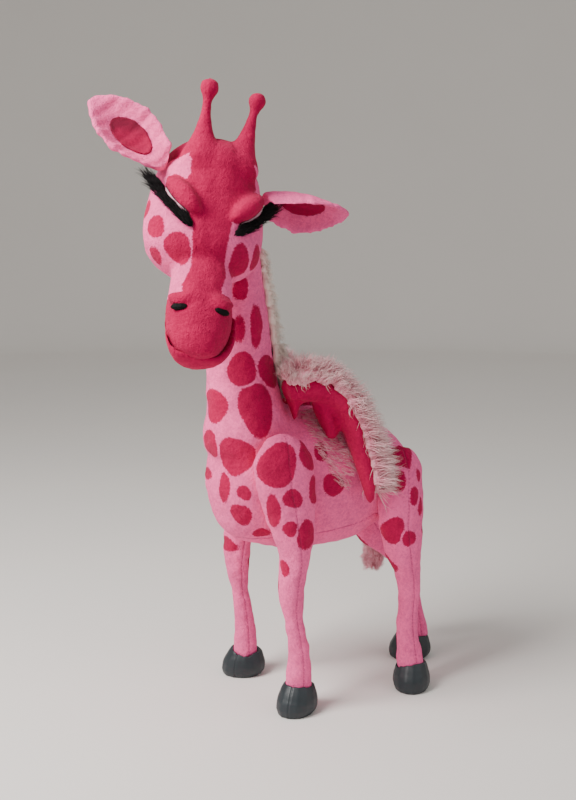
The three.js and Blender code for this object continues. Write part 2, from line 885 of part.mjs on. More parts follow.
const legPlans = {
  front: {
    sideOffset: shoulderSideOffset,
    along: shoulderAlong,
    height: shoulderHeight,
    top: frontPadHeight,
    halfDepth: frontLegHalfDepth,
    shares: frontLegShares,
  },
  rear: {
    sideOffset: hipSideOffset,
    along: hipAlong,
    height: hipHeight,
    top: rearPadHeight,
    halfDepth: rearLegHalfDepth,
    shares: rearLegShares,
  },
};
/** How far the torso's side lies from its middle at a place along it and a height below its middle. */
function torsoSideAt(along, height) {
  const t = torsoShareAt(along);
  const [lift, width, , below] = valuesAt(torsoStationShares, t);
  const full = torsoRoundness(t);
  const share = (height - torsoAxisHeight - lift * torsoHalfHeight) / (torsoHalfHeight * below * full);
  return torsoHalfWidth * width * full * Math.sqrt(1 - share * share);
}
const elbowOutShare = 0.6;
const elbowDownShare = 0.1;
const wireRouteShares = [
  // place from the hinge to the end in the hoof, pull outwards to the elbow
  [0.14, 0.8],
  [0.3, 0.15],
  [0.44, 0],
  [0.56, 0],
  [0.7, 0],
  [0.84, 0],
  [1, 0],
];
function legForm(name) {
  const plan = legPlans[name.startsWith("front") ? "front" : "rear"];
  const sideSign = name.endsWith("left") ? 1 : -1;
  const { across, along, toeTurn, kneeBack, thighForward } = stance[name];
  const toe = new THREE.Vector3(Math.sin(toeTurn * degree), -Math.cos(toeTurn * degree), 0);
  const hinge = new THREE.Vector3(sideSign * plan.sideOffset, plan.along, plan.height);
  const sole = new THREE.Vector3(across, along, 0);
  const ankle = sole.clone().addScaledVector(toe, -toeShift);
  const middleAt = (height, bow) => {
    const lean = Math.max(0, (plan.height - height) / plan.height);
    // The knee's bend is full halfway down, and the thigh's a quarter of the way down
    const knee = 4 * lean * (1 - lean);
    const thigh = Math.sin(fullTurn * Math.min(lean, 1 / 2)) ** 2;
    return new THREE.Vector3(
      between(hinge.x, ankle.x, lean),
      between(hinge.y, ankle.y, lean) + bow * plan.halfDepth + kneeBack * knee - thighForward * thigh,
      height,
    );
  };
  const middle = (t) => {
    const [bow] = valuesAt(plan.shares, t);
    return middleAt(between(plan.top, legEndHeight, t), bow);
  };
  const form = loft({
    rings: 16,
    sides: 12,
    side: left,
    middle,
    section: (t, angle) => {
      const [, width, depth] = valuesAt(plan.shares, t);
      const full = roundness(t, legPadShare, legEndShare);
      return [legHalfWidth * width * full * Math.cos(angle), plan.halfDepth * depth * full * Math.sin(angle)];
    },
  });
  return { plan, sideSign, toe, hinge, sole, ankle, middleAt, form };
}
function legPieces(name) {
  const { plan, sideSign, toe, hinge, sole, ankle, middleAt, form } = legForm(name);
  const wireStart = torsoSideAt(plan.along, plan.height) + seatGap;
  const elbow = sideSign * (wireStart + wireElbow);
  const bendAt = between(sideSign * wireStart, elbow, elbowOutShare);
  const route = [
    new THREE.Vector3(sideSign * wireStart, hinge.y, hinge.z),
    new THREE.Vector3(bendAt, hinge.y, hinge.z - elbowDownShare * wireElbow),
    new THREE.Vector3(elbow, hinge.y, hinge.z - wireElbow),
  ];
  for (const [drop, outward] of wireRouteShares) {
    const height = between(plan.height, legEndHeight - wireIntoHoof, drop);
    const [bow] = valuesAt(plan.shares, Math.min((plan.top - height) / (plan.top - legEndHeight), 1));
    const point = middleAt(height, bow);
    point.x = between(point.x, elbow, outward);
    route.push(point);
  }
  const innerEnd = new THREE.Vector3(sideSign * (wireStart - crossWireShort), hinge.y, hinge.z);
  const aroundWire = [channelAlong(route), channelAlong([innerEnd, route[0]])];
  const hinged = [barrelWay, stumpWay].flatMap((way) => swept(way, hinge, left, [-legSwing, 0, legSwing]));
  return {
    leg: cut(form, ...hinged, ...aroundWire),
    hoof: cut(hoofOn(sole, ankle, toe), grown(form, seatGap), ...aroundWire),
    wire: wireAlong(route),
  };
}

// Hooves: a bulging boot with a flat sole, its top edge peaked at the front
const hoofStationShares = [
  // place from sole to top, width, length
  [0, 0.86, 0.88],
  [0.14, 0.97, 0.98],
  [0.4, 1, 1],
  [0.75, 0.88, 0.84],
  [1, 0.74, 0.68],
];
function hoofOn(sole, ankle, toe) {
  const form = loft({
    rings: 6,
    sides: 14,
    side: new THREE.Vector3().crossVectors(toe, up),
    flatStart: true,
    flatEnd: true,
    middle: (t) => new THREE.Vector3(0, 0, t * hoofHeight),
    section: (t, angle) => {
      const [width, length] = valuesAt(hoofStationShares, t);
      return [hoofHalfWidth * width * Math.cos(angle), hoofHalfLength * length * Math.sin(angle)];
    },
  });
  const place = form.getAttribute("position");
  for (let i = 0; i < place.count; i++) {
    const ahead = (place.getX(i) * toe.x + place.getY(i) * toe.y) / hoofHalfLength;
    const rise = place.getZ(i) / hoofHeight;
    place.setXYZ(
      i,
      place.getX(i) + between(sole.x, ankle.x, rise),
      place.getY(i) + between(sole.y, ankle.y, rise),
      rise * (hoofHeight + hoofFrontPeak * ahead),
    );
  }
  return form;
}

// Wings: a padded core that arches over the shoulder and hangs down the flank, furred outside
const wingStationShares = [
  // place, outwards, back, up, chord, thickness
  [0, 0, 0, 0, 0.6, 1.2],
  [0.13, 0.07, -0.03, 0.19, 0.85, 1.8],
  [0.28, 0.12, 0.1, 0.29, 0.95, 1.8],
  [0.42, 0.15, 0.28, 0.23, 1, 1.4],
  [0.56, 0.17, 0.42, 0.06, 1, 1.1],
  [0.72, 0.2, 0.5, -0.17, 0.8, 0.95],
  [0.87, 0.24, 0.56, -0.41, 0.56, 0.85],
  [1, 0.25, 0.6, -0.66, 0.4, 0.7],
];
const wingRootHeight = torsoTopAt(wingRootSideOffset, wingRootAlong);
const wingMiddle = (t, shares = wingStationShares) => {
  const [out, rear, rise] = valuesAt(shares, t);
  return new THREE.Vector3(
    wingRootSideOffset + out * wingSpan,
    wingRootAlong + rear * wingSpan,
    wingRootHeight + rise * wingSpan,
  );
};
const wingRootShare = 0.06;
const wingTipShare = 0.12;
const wingPad = (shares, rings, sides) =>
  loft({
    rings,
    sides,
    side: left,
    middle: (t) => wingMiddle(t, shares),
    section: (t, angle) => {
      const [, , , chord, thickness] = valuesAt(shares, t);
      const full = roundness(t, wingRootShare, wingTipShare);
      return [
        wingHalfChord * chord * full * Math.cos(angle),
        wingHalfThickness * thickness * full * Math.sin(angle),
      ];
    },
  });
// A shorter inner lobe hangs from the arch, sewn into its underside
const wingLobeShares = [
  // place, outwards, back, up, chord, thickness
  [0, 0.12, 0.17, 0.3, 0.6, 0.8],
  [0.35, 0.1, 0.24, 0.14, 0.75, 1],
  [0.7, 0.085, 0.31, -0.02, 0.7, 0.95],
  [1, 0.07, 0.36, -0.14, 0.4, 0.7],
];
const wingForm = joined(wingPad(wingStationShares, 14, 12), wingPad(wingLobeShares, 7, 8));
// The fur stands on the outer side only, so that the padded rim stays in sight
const furStartShare = 0.16;
const furEndShare = 0.97;
const furRoundShare = 0.12;
const furSeatShare = 0.4;
const wingFurForm = loft({
  rings: 10,
  sides: 12,
  side: left,
  middle: (s) => wingMiddle(between(furStartShare, furEndShare, s)),
  section: (s, angle) => {
    const [, , , chord, thickness] = valuesAt(wingStationShares, between(furStartShare, furEndShare, s));
    const full = roundness(s, furRoundShare, furRoundShare);
    const core = wingHalfThickness * thickness;
    const pile = Math.max(-Math.sin(angle), 0) * (furDepth + core * (1 - furSeatShare));
    return [wingHalfChord * chord * full * Math.cos(angle), -(core * furSeatShare + pile) * full];
  },
});
const leanAngles = [-neckLeanBack, 0, neckLeanForward];
const wingHinge = new THREE.Vector3(wingRootSideOffset, wingRootAlong, wingRootHeight);
const spreadWays = [barrelWay, stumpWay, grown(neckForm, sweepGap)].flatMap((way) =>
  swept(way, wingHinge, up, [0, wingSpread / 2, wingSpread]),
);
const hindLeg = legForm("rear_leg_left");
const wingKeepOut = [
  ...spreadWays,
  ...swept(grown(neckForm, sweepGap), neckHinge, left, leanAngles),
  ...swept(grown(hindLeg.form, sweepGap), hindLeg.hinge, left, [-legSwing, 0, legSwing]),
];
const wing = cut(wingForm, ...wingKeepOut);
const wingFur = cut(wingFurForm, ...wingKeepOut, grown(wingForm, seatGap));

// Mane: a furred strip down the back of the neck
const maneEndShare = 0.15;
const maneFootShare = 1.6;
const maneForm = loft({
  rings: 12,
  sides: 12,
  side: left,
  middle: (s) => {
    const t = (between(neckSeamHeight + maneFootRise, maneTopHeight, s) - neckBaseHeight) / neckHeight;
    const [, , depth] = valuesAt(neckStationShares, t);
    return neckMiddle(t).add(new THREE.Vector3(0, neckHalfWidth * depth, 0));
  },
  section: (s, angle) => {
    const full = roundness(s, maneEndShare, maneEndShare);
    const swell = 1 + maneFootShare * (1 - s) ** 2;
    return [
      maneHalfWidth * full * Math.cos(angle),
      manePile * swell * full * Math.sin(angle),
    ];
  },
});
const torsoWays = [barrelWay, stumpWay].flatMap((way) =>
  swept(way, neckHinge, left, [-neckLeanForward, neckLeanBack]),
);
const mane = cut(maneForm, grown(neckForm, seatGap), ...torsoWays);

// Tail: a stuffed cord from the top of the rump, curled round the right thigh, with a tuft
const tailPathShares = [
  // place, to the right, back, down
  [0, 0, 0, 0],
  [0.25, 0.3, 0.2, 0.2],
  [0.5, 0.66, 0.26, 0.6],
  [0.75, 0.92, 0.2, 1.02],
  [1, 1.05, 0.05, 1.3],
];
const tailHinge = new THREE.Vector3(0, tailRootAlong, tailRootHeight);
const tailMiddle = (t) => {
  const [right, rear, down] = valuesAt(tailPathShares, t);
  const fall = new THREE.Vector3(-right, rear, -down).multiplyScalar(tailReach);
  return tailHinge.clone().add(fall);
};
const tailEndShare = 0.05;
const tailTaperShare = 0.25;
const tailForm = loft({
  rings: 14,
  sides: 10,
  side: up,
  middle: tailMiddle,
  section: (t, angle) => {
    const full = roundness(t, tailEndShare, tailEndShare) * tailRadius * (1 - tailTaperShare * t);
    return [full * Math.cos(angle), full * Math.sin(angle)];
  },
});
const tuftStartShare = 0.94;
const tuftRightShare = 0.04;
const tuftForwardShare = 0.12;
const tuftTopShare = 0.45;
const tuftTipShare = 0.55;
const tuftStart = tailMiddle(tuftStartShare);
const tuftFall = new THREE.Vector3(-tuftRightShare, -tuftForwardShare, -1).multiplyScalar(tuftLength);
const tuftForm = loft({
  rings: 9,
  sides: 12,
  side: left,
  middle: (t) => tuftStart.clone().addScaledVector(tuftFall, t),
  section: (t, angle) => {
    const full = roundness(t, tuftTopShare, tuftTipShare) * tuftRadius;
    return [full * Math.cos(angle), full * Math.sin(angle)];
  },
});

// Wires: one along the back and up into the stump, one across at each pair of legs, one in the neck
const spineLift = 2 * wireRadius + seatGap;
const spineSagShare = 0.8;
const spineMiddleHeight = between(hipHeight, shoulderHeight, spineSagShare) + spineLift;
const spineRoute = [
  new THREE.Vector3(0, hipAlong + wireTailEnd, hipHeight + spineLift),
  new THREE.Vector3(0, hipAlong, hipHeight + spineLift),
  new THREE.Vector3(0, (hipAlong + shoulderAlong) / 2, spineMiddleHeight),
  new THREE.Vector3(0, shoulderAlong, shoulderHeight + spineLift),
  neckMiddle(neckSeamShare / 2),
  neckHinge,
  neckMiddle(stumpTopShare - seatGap / neckHeight),
];
const crossRoute = (along, height, past) => {
  const reach = torsoSideAt(along, height) + past;
  return [-reach, 0, reach].map((across) => new THREE.Vector3(across, along, height));
};
const crossWires = [[shoulderAlong, shoulderHeight], [hipAlong, hipHeight]];
const [shoulderWire, hipWire] = crossWires.map((place) => wireAlong(crossRoute(...place, -crossWireShort)));
const crossChannels = crossWires.map((place) => channelAlong(crossRoute(...place, crossWireShort)));
const neckRouteShares = [0, 0.2, 0.4, 0.6, 0.8, 1];
const neckWireTop = neckMiddle(1);
neckWireTop.z += wireIntoHead;
// It starts above whatever of the shoulders reaches higher under the neck
const shoulderTopHeight = Math.max(neckSeamHeight + stumpRise, torsoTopAt(0, neckHinge.y));
const neckWireStartShare = (shoulderTopHeight + sweepGap + wayGap - neckBaseHeight) / neckHeight;
const neckRoute = neckRouteShares.map((share) => neckMiddle(between(neckWireStartShare, 1, share)));
neckRoute.push(neckWireTop);
const aroundNeckWire = channelAlong(neckRoute);
const torso = cut(torsoForm, channelAlong(spineRoute), ...crossChannels);
const neck = cut(neckForm, ...torsoWays, aroundNeckWire);
const head = cut(headForm, placed(socketForm, intoHead), placed(aroundNeckWire, intoHead));

// Assembly
const giraffe = new THREE.Group();
giraffe.add(headGroup);

/** Adds a named piece to a group. */
function add(group, name, geometry, material) {
  const flat = geometry.index ? geometry.toNonIndexed() : geometry.clone();
  flat.computeVertexNormals();
  const mesh = new THREE.Mesh(flat, material());
  mesh.name = name;
  group.add(mesh);
  return mesh;
}

add(giraffe, "torso", torso, pinkPlush);
add(giraffe, "spine_wire", wireAlong(spineRoute), wireSteel);
add(giraffe, "shoulder_wire", shoulderWire, wireSteel);
add(giraffe, "hip_wire", hipWire, wireSteel);
add(giraffe, "neck", neck, pinkPlush);
add(giraffe, "neck_wire", wireAlong(neckRoute), wireSteel);
add(giraffe, "mane", mane, maneFur);
add(headGroup, "head", head, pinkPlush);
add(headGroup, "muzzle", muzzle, crimsonPlush);
add(headGroup, "lower_lip", lowerLip, crimsonPlush);
for (const [sideName, set] of Object.entries(earSet)) {
  const sideSign = sideName === "left" ? 1 : -1;
  add(headGroup, `horn_${sideName}`, hornOn(sideSign), crimsonPlush);
  const ears = earPieces(sideSign, set);
  add(headGroup, `ear_${sideName}`, ears.ear, pinkPlush);
  add(headGroup, `ear_lining_${sideName}`, ears.lining, crimsonPlush);
  const eyes = eyePieces(sideSign);
  add(headGroup, `eyelid_${sideName}`, eyes.eyelid, crimsonPlush);
  add(headGroup, `lower_lid_${sideName}`, eyes.lower, pinkPlush);
  add(headGroup, `lashes_${sideName}`, eyes.lash, lashBlack);
  const nostrils = nostrilPieces(sideSign);
  add(headGroup, `nostril_flap_${sideName}`, nostrils.roll, crimsonPlush);
  add(headGroup, `nostril_${sideName}`, nostrils.slit, lashBlack);
  const own = sideSign > 0 ? (g) => g : mirrored;
  add(giraffe, `wing_${sideName}`, own(wing), crimsonPlush);
  add(giraffe, `wing_fur_${sideName}`, own(wingFur), furPile);
}
for (const name of Object.keys(stance)) {
  const pieces = legPieces(name);
  add(giraffe, name, pieces.leg, pinkPlush);
  add(giraffe, name.replace("leg", "hoof"), pieces.hoof, hoofLeather);
  add(giraffe, `${name}_wire`, pieces.wire, wireSteel);
}
const tailWays = swept(barrelWay, tailHinge, back, [-tailSwingOut, 0, tailSwingIn]);
const tail = cut(tailForm, ...tailWays, grown(tuftForm, seatGap));
add(giraffe, "tail", tail, pinkPlush);
add(giraffe, "tail_tuft", tuftForm, furPile);

// The part's origin is under the middle of all it reaches over
const reach = new THREE.Box3().setFromObject(giraffe, true);
const middleOfReach = reach.getCenter(new THREE.Vector3());
giraffe.position.set(-middleOfReach.x, -middleOfReach.y, -reach.min.z);
const plushGiraffe = new THREE.Group();
plushGiraffe.name = "plush_giraffe";
plushGiraffe.add(giraffe);

export default plushGiraffe;
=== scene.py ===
# %% [markdown]
# # A plush giraffe with two small wings
#
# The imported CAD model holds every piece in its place. This lesson gives the pieces their
# looks. Lengths are in metres, +Z is up, and the giraffe faces -Y with its left at +X.

# %% Load the frame
import json
import math

import bpy
import numpy as np
from mathutils import Euler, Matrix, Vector
from mathutils.bvhtree import BVHTree

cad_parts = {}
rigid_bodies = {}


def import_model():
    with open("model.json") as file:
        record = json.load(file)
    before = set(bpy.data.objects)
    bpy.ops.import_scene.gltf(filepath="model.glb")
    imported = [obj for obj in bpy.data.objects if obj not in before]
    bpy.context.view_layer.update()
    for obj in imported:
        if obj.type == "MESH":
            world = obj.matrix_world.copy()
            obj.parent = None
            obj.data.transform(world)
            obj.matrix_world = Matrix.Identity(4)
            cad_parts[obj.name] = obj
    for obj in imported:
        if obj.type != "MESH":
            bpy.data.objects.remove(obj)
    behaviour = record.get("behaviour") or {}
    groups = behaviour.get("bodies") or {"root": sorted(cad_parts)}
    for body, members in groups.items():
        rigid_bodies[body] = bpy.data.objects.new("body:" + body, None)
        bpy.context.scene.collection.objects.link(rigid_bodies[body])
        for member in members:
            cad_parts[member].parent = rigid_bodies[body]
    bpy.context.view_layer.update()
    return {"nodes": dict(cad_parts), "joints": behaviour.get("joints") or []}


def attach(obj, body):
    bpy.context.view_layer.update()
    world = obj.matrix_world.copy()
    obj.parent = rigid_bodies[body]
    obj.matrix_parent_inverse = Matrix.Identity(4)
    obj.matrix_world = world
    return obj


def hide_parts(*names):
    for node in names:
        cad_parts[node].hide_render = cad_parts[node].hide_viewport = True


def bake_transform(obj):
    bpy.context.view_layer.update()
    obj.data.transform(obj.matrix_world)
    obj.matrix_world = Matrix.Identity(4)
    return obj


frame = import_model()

MM = 0.001
SIGNS = {"left": 1, "right": -1}
joint_at = {joint["name"]: np.array(joint["pos_m"]) for joint in frame["joints"]}
cad = frame["nodes"]


def unit(vectors):
    """Vectors of length one."""
    return vectors / np.maximum(np.linalg.norm(vectors, axis=-1, keepdims=True), 1e-12)


# %% [markdown]
# ## The camera
# It stands at the giraffe's left front, a little above the shoulders. Its place is written
# from the joint at the foot of the neck.

# %% Camera
NECK_JOINT = joint_at["neck_lean"]
CAMERA_AT = NECK_JOINT + np.array([0.76496, -0.33691, 0.14])
LOOK = unit(np.array([-0.8880, 0.4331, -0.1547]))
RIGHT = unit(np.cross(LOOK, [0, 0, 1]))
ABOVE = np.cross(RIGHT, LOOK)
LENS, SENSOR = 49.5, 36
PICTURE = (576, 800)
PIXELS_PER_SLOPE = LENS / SENSOR * PICTURE[1]


def aimed(name, data, at, direction):
    """Puts a camera or a light in the scene at a place, facing a direction."""
    obj = bpy.data.objects.new(name, data)
    bpy.context.scene.collection.objects.link(obj)
    obj.location = at
    obj.rotation_mode = "QUATERNION"
    obj.rotation_quaternion = Vector(direction).to_track_quat("-Z", "Y")
    return obj


camera_data = bpy.data.cameras.new("camera")
camera_data.lens, camera_data.sensor_width = LENS, SENSOR
bpy.context.scene.camera = aimed("camera", camera_data, CAMERA_AT, LOOK)
print("camera at", np.round(CAMERA_AT, 3), "looks along", np.round(LOOK, 3))


def sight(x, y):
    """Direction from the camera through a picture place: the look direction plus, rightwards and
    upwards, the distance from the picture's middle over the focal length."""
    across = (x - PICTURE[0] / 2) / PIXELS_PER_SLOPE
    upward = (PICTURE[1] / 2 - y) / PIXELS_PER_SLOPE
    return unit(LOOK + across * RIGHT + upward * ABOVE)


# %% [markdown]
# ## Small tools for meshes
# A mesh is two arrays: its corners and its faces. Every piece is made from such arrays.

# %% Mesh tools
def arrays_of(obj):
    """Corners (n, 3) and triangles (m, 3) of an object, modifiers included."""
    graph = bpy.context.evaluated_depsgraph_get()
    made = obj.evaluated_get(graph)
    mesh = made.to_mesh()
    mesh.calc_loop_triangles()
    corners = np.empty(len(mesh.vertices) * 3, np.float32)
    mesh.vertices.foreach_get("co", corners)
    faces = np.empty(len(mesh.loop_triangles) * 3, np.int32)
    mesh.loop_triangles.foreach_get("vertices", faces)
    made.to_mesh_clear()
    return corners.reshape(-1, 3).astype(float), faces.reshape(-1, 3)


def piece(name, corners, faces):
    """A new smooth object of the given corners and faces."""
    mesh = bpy.data.meshes.new(name)
    mesh.from_pydata(corners.tolist(), [], faces.tolist())
    mesh.update()
    mesh.polygons.foreach_set("use_smooth", np.ones(len(mesh.polygons), bool))
    obj = bpy.data.objects.new(name, mesh)
    bpy.context.scene.collection.objects.link(obj)
    return obj


def summed(places, vectors, count):
    """For each of count corners, the sum of the vectors that are placed on it."""
    return np.column_stack([np.bincount(places, vectors[:, axis], count) for axis in range(3)])


def normals_of(corners, faces):
    """Corner normals: the sum of the cross products of the faces that meet there, one long."""
    a, b, c = (corners[faces[:, i]] for i in range(3))
    flat = np.cross(b - a, c - a)
    return unit(sum(summed(faces[:, i], flat, len(corners)) for i in range(3)))


def relaxed(corners, faces, rounds, pull=0.5, push=-0.52):
    """Corners after rounds of a move towards the mean of their neighbours by pull, then back by
    push. The pair takes out ripples and keeps the form's size."""
    edges = np.concatenate([faces[:, [0, 1]], faces[:, [1, 2]], faces[:, [2, 0]]])
    edges = np.unique(np.sort(edges, axis=1), axis=0)
    one, other = edges[:, 0], edges[:, 1]
    size = len(corners)
    count = np.maximum(np.bincount(edges.ravel(), minlength=size), 1)[:, None]
    for _ in range(rounds):
        for share in (pull, push):
            total = summed(one, corners[other], size) + summed(other, corners[one], size)
            corners = corners + share * (total / count - corners)
    return corners


def stored(obj, name, values):
    """Keeps an array of numbers or vectors on the corners of an object."""
    values = np.asarray(values, np.float32)
    kind, key = ("FLOAT", "value") if values.ndim == 1 else ("FLOAT_VECTOR", "vector")
    attribute = obj.data.attributes.new(name, kind, "POINT")
    attribute.data.foreach_set(key, values.ravel())


def smooth_step(low, high, value):
    """0 below low, 1 above high, and 3s^2 - 2s^3 between."""
    s = np.clip((value - low) / (high - low), 0, 1)
    return s * s * (3 - 2 * s)


def ripple(points, size, seed):
    """Smooth noise, mostly between -1 and 1: seven sine waves in seeded directions, each about one
    size long, summed and divided by 3.2."""
    rng = np.random.default_rng(seed)
    total = np.zeros(len(points))
    for _ in range(7):
        direction = unit(rng.normal(size=3))
        length = size * rng.uniform(0.7, 1.5)
        total += np.sin(points @ direction * math.tau / length + rng.uniform(0, math.tau))
    return total / 3.2


# %% [markdown]
# ## Stuffed skins
# A stuffed piece is its CAD solid, remeshed evenly and blown up as cloth under pressure. Each
# corner's move is capped, so that the piece stays in the room the solid holds.

# %% Stuffing
CLOTH_FRAMES, CLOTH_PRESSURE = 20, 4.0


def stuffed(name, nodes, grain, cap, rounds=6, levels=1):
    """CAD nodes merged by a voxel remesh of size grain, smoothed, blown up as cloth and subdivided."""
    points, faces, offset = [], [], 0
    for node in nodes:
        node_points, node_faces = arrays_of(cad[node])
        points.append(node_points)
        faces.append(node_faces + offset)
        offset += len(node_points)
    rough = piece(name + "_rough", np.concatenate(points), np.concatenate(faces))
    remesh = rough.modifiers.new("even", "REMESH")
    remesh.mode = "VOXEL"
    remesh.voxel_size = grain
    corners, triangles = arrays_of(rough)
    bpy.data.objects.remove(rough)
    corners = relaxed(corners, triangles, rounds)
    if cap > 0:
        corners = blown_up(name, corners, triangles, cap)
    made = piece(name, corners, triangles)
    if levels:
        finer = made.modifiers.new("finer", "SUBSURF")
        finer.levels = finer.render_levels = levels
        corners, triangles = arrays_of(made)
        bpy.data.objects.remove(made)
        made = piece(name, corners, triangles)
    return made


def blown_up(name, corners, triangles, cap):
    """Corners after CLOTH_FRAMES frames of cloth under pressure, each move cut to at most cap."""
    skin = piece(name + "_cloth", corners, triangles)
    cloth = skin.modifiers.new("cloth", "CLOTH")
    settings = cloth.settings
    settings.use_pressure = True
    settings.uniform_pressure_force = CLOTH_PRESSURE
    settings.effector_weights.gravity = 0
    settings.quality = 4
    cloth.point_cache.frame_start = 1
    cloth.point_cache.frame_end = CLOTH_FRAMES
    for number in range(1, CLOTH_FRAMES + 1):
        bpy.context.scene.frame_set(number)
    after, _ = arrays_of(skin)
    bpy.data.objects.remove(skin)
    bpy.context.scene.frame_set(1)
    move = after - corners
    length = np.linalg.norm(move, axis=1)
    return corners + move * (np.minimum(length, cap) / np.maximum(length, 1e-12))[:, None]


def moved_to(obj, corners):
    """Sets an object's corners."""
    obj.data.vertices.foreach_set("co", corners.astype(np.float32).ravel())
    obj.data.update()


def reshape(obj, change):
    """Moves an object's corners: change takes corners and normals and gives new corners."""
    corners, triangles = arrays_of(obj)
    moved_to(obj, change(corners, normals_of(corners, triangles)))


# %% [markdown]
# The body and the neck are one skin, and so are the head, its muzzle, horns, lids and flaps,
# because on the real giraffe these run into each other. A finer grain keeps smaller forms.

# %% The stuffed pieces
body_skin = stuffed("body_skin", ["torso", "neck"], 4 * MM, 2 * MM, rounds=10)
PAIRS = [f"{part}_{side}" for part in ("horn", "nostril_flap", "eyelid") for side in SIGNS]
HEAD_NODES = ["head", "muzzle", *PAIRS]
head_skin = stuffed("head_skin", HEAD_NODES, 1.9 * MM, 1.2 * MM, rounds=12)
lip_skin = stuffed("lip_skin", ["lower_lip"], 2 * MM, 0)
LEGS = [f"{end}_leg_{side}" for end in ("front", "rear") for side in SIGNS]
leg_skins = {leg: stuffed(leg + "_skin", [leg], 3 * MM, 1 * MM, rounds=8) for leg in LEGS}
tail_skin = stuffed("tail_skin", ["tail"], 1.5 * MM, 0, rounds=8)


def by_side(name, node, grain, rounds, levels=1):
    """The left and the right one of a piece that is remeshed and smoothed only."""
    pairs = {side: (name.format(side), [node.format(side)]) for side in SIGNS}
    return {side: stuffed(*pair, grain, 0, rounds, levels) for side, pair in pairs.items()}


ear_skins = by_side("ear_{}_skin", "ear_{}", 1.6 * MM, 5)
wing_cores = by_side("wing_{}_core", "wing_{}", 2 * MM, 12)
for obj in [body_skin, head_skin, lip_skin, tail_skin, *leg_skins.values(), *ear_skins.values()]:
    print(obj.name, len(obj.data.polygons), "faces")

# %% [markdown]
# ## The head's own frame
# The head hangs, turns and tilts, so its shape and its pattern are laid out in its own
# frame: nose towards -Y, forehead towards +Z, all in millimetres.

# %% Head frame
HEAD_MIDDLE = NECK_JOINT + np.array([0.00776, -0.03451, 0.162])
HEAD_TURN, HEAD_DROOP, HEAD_TILT = 83, 60, 12.5
head_angles = [math.radians(angle) for angle in (HEAD_DROOP, HEAD_TILT, HEAD_TURN)]
HEAD_AXES = np.array(Euler(head_angles, "XYZ").to_matrix())


def in_head(points):
    """Points in the head's own frame, in millimetres."""
    return (points - HEAD_MIDDLE) @ HEAD_AXES / MM


def from_head(points):
    """Points of the head's own frame, in millimetres, back in the model's frame."""
    return np.asarray(points, float) * MM @ HEAD_AXES.T + HEAD_MIDDLE


# %% [markdown]
# The forehead is one smooth dome from which the horns grow. The mouth is a U: the muzzle
# hangs down in the middle, and the lip's ends are drawn up beside it.

# %% Forehead, mouth and nostrils
def bump(points, centre, radius):
    """1 at a centre, falling off as exp(-(distance / radius)^2)."""
    return np.exp(-(((points - centre) / radius) ** 2).sum(1))[:, None]


# Places and sizes in the head's own frame, in millimetres
FOREHEAD, FOREHEAD_SIZE = (0, 9, 40), (19, 17, 14)
DOME, DOME_SIZE, DOME_LIFT = (0, 12, 40), (12, 15, 14), 4.5
MUZZLE_HANG, HANG_WIDTH, HANG_FROM, HANG_TO = 4, 13, -106, -122
FLAPS, FLAP_SIZE, FLAP_DROOP = ((11, -94, 18), (-18.7, -94, 13)), 6, np.array([0, -3.0, 1.0])
LIP_MIDDLE, LIP_HALF, LIP_RISE, LIP_HANG = 1.6, 23, 9, 1.5


def face_shaped(corners, normals, triangles):
    """Head corners with the forehead relaxed and lifted, the muzzle's front hung down by
    MUZZLE_HANG exp(-(x / HANG_WIDTH)^2), and the nostril flaps drooped."""
    local = in_head(corners)
    calm = in_head(relaxed(corners, triangles, 60, 0.5, 0.0))
    forehead = np.minimum(1.5 * bump(local, FOREHEAD, FOREHEAD_SIZE), 1)
    local = local + forehead * (calm - local)
    local = local + DOME_LIFT * bump(local, DOME, DOME_SIZE) * (normals @ HEAD_AXES)
    hanging = np.exp(-((local[:, 0] / HANG_WIDTH) ** 2)) * smooth_step(HANG_FROM, HANG_TO, local[:, 1])
    local[:, 1] -= MUZZLE_HANG * hanging
    for flap in FLAPS:
        local = local + bump(local, flap, FLAP_SIZE) * FLAP_DROOP
    return from_head(local)


def lip_shaped(corners, normals):
    """Lip corners whose ends are raised by LIP_RISE (x / LIP_HALF)^2 and spread beside the muzzle,
    and whose middle hangs LIP_HANG lower."""
    local = in_head(corners)
    end = ((local[:, 0] - LIP_MIDDLE) / LIP_HALF) ** 2
    local[:, 2] += LIP_RISE * end
    local[:, 0] = local[:, 0] * (1 + 0.14 * end) - 1
    local[:, 1] -= LIP_HANG * (1 - end)
    return from_head(local)


_, triangles = arrays_of(head_skin)
reshape(head_skin, lambda corners, normals: face_shaped(corners, normals, triangles))
reshape(lip_skin, lip_shaped)
local = in_head(arrays_of(head_skin)[0])
print("head from", np.round(local.min(0), 1), "to", np.round(local.max(0), 1), "mm in its own frame")

# %% [markdown]
# ## The ears
# The ears' cloth is cut a little wider than the form under it, and it puckers along the rim.

# %% Ears
EAR_WIDER = {"left": 0.0, "right": 0.2}
EAR_PUCKER = {"left": 0.45 * MM, "right": 0.8 * MM}
EAR_HALF_WIDTH, EAR_HALF_LENGTH, EAR_CUP = 17 * MM, 32 * MM, 5 * MM
EAR_FOLD = 7 * MM


def ear_frame(side):
    """An ear's middle and its three main directions: along, across and through."""
    corners, _ = arrays_of(cad[f"ear_{side}"])
    middle = corners.mean(0)
    return middle, np.linalg.svd(corners - middle, full_matrices=False)[2]


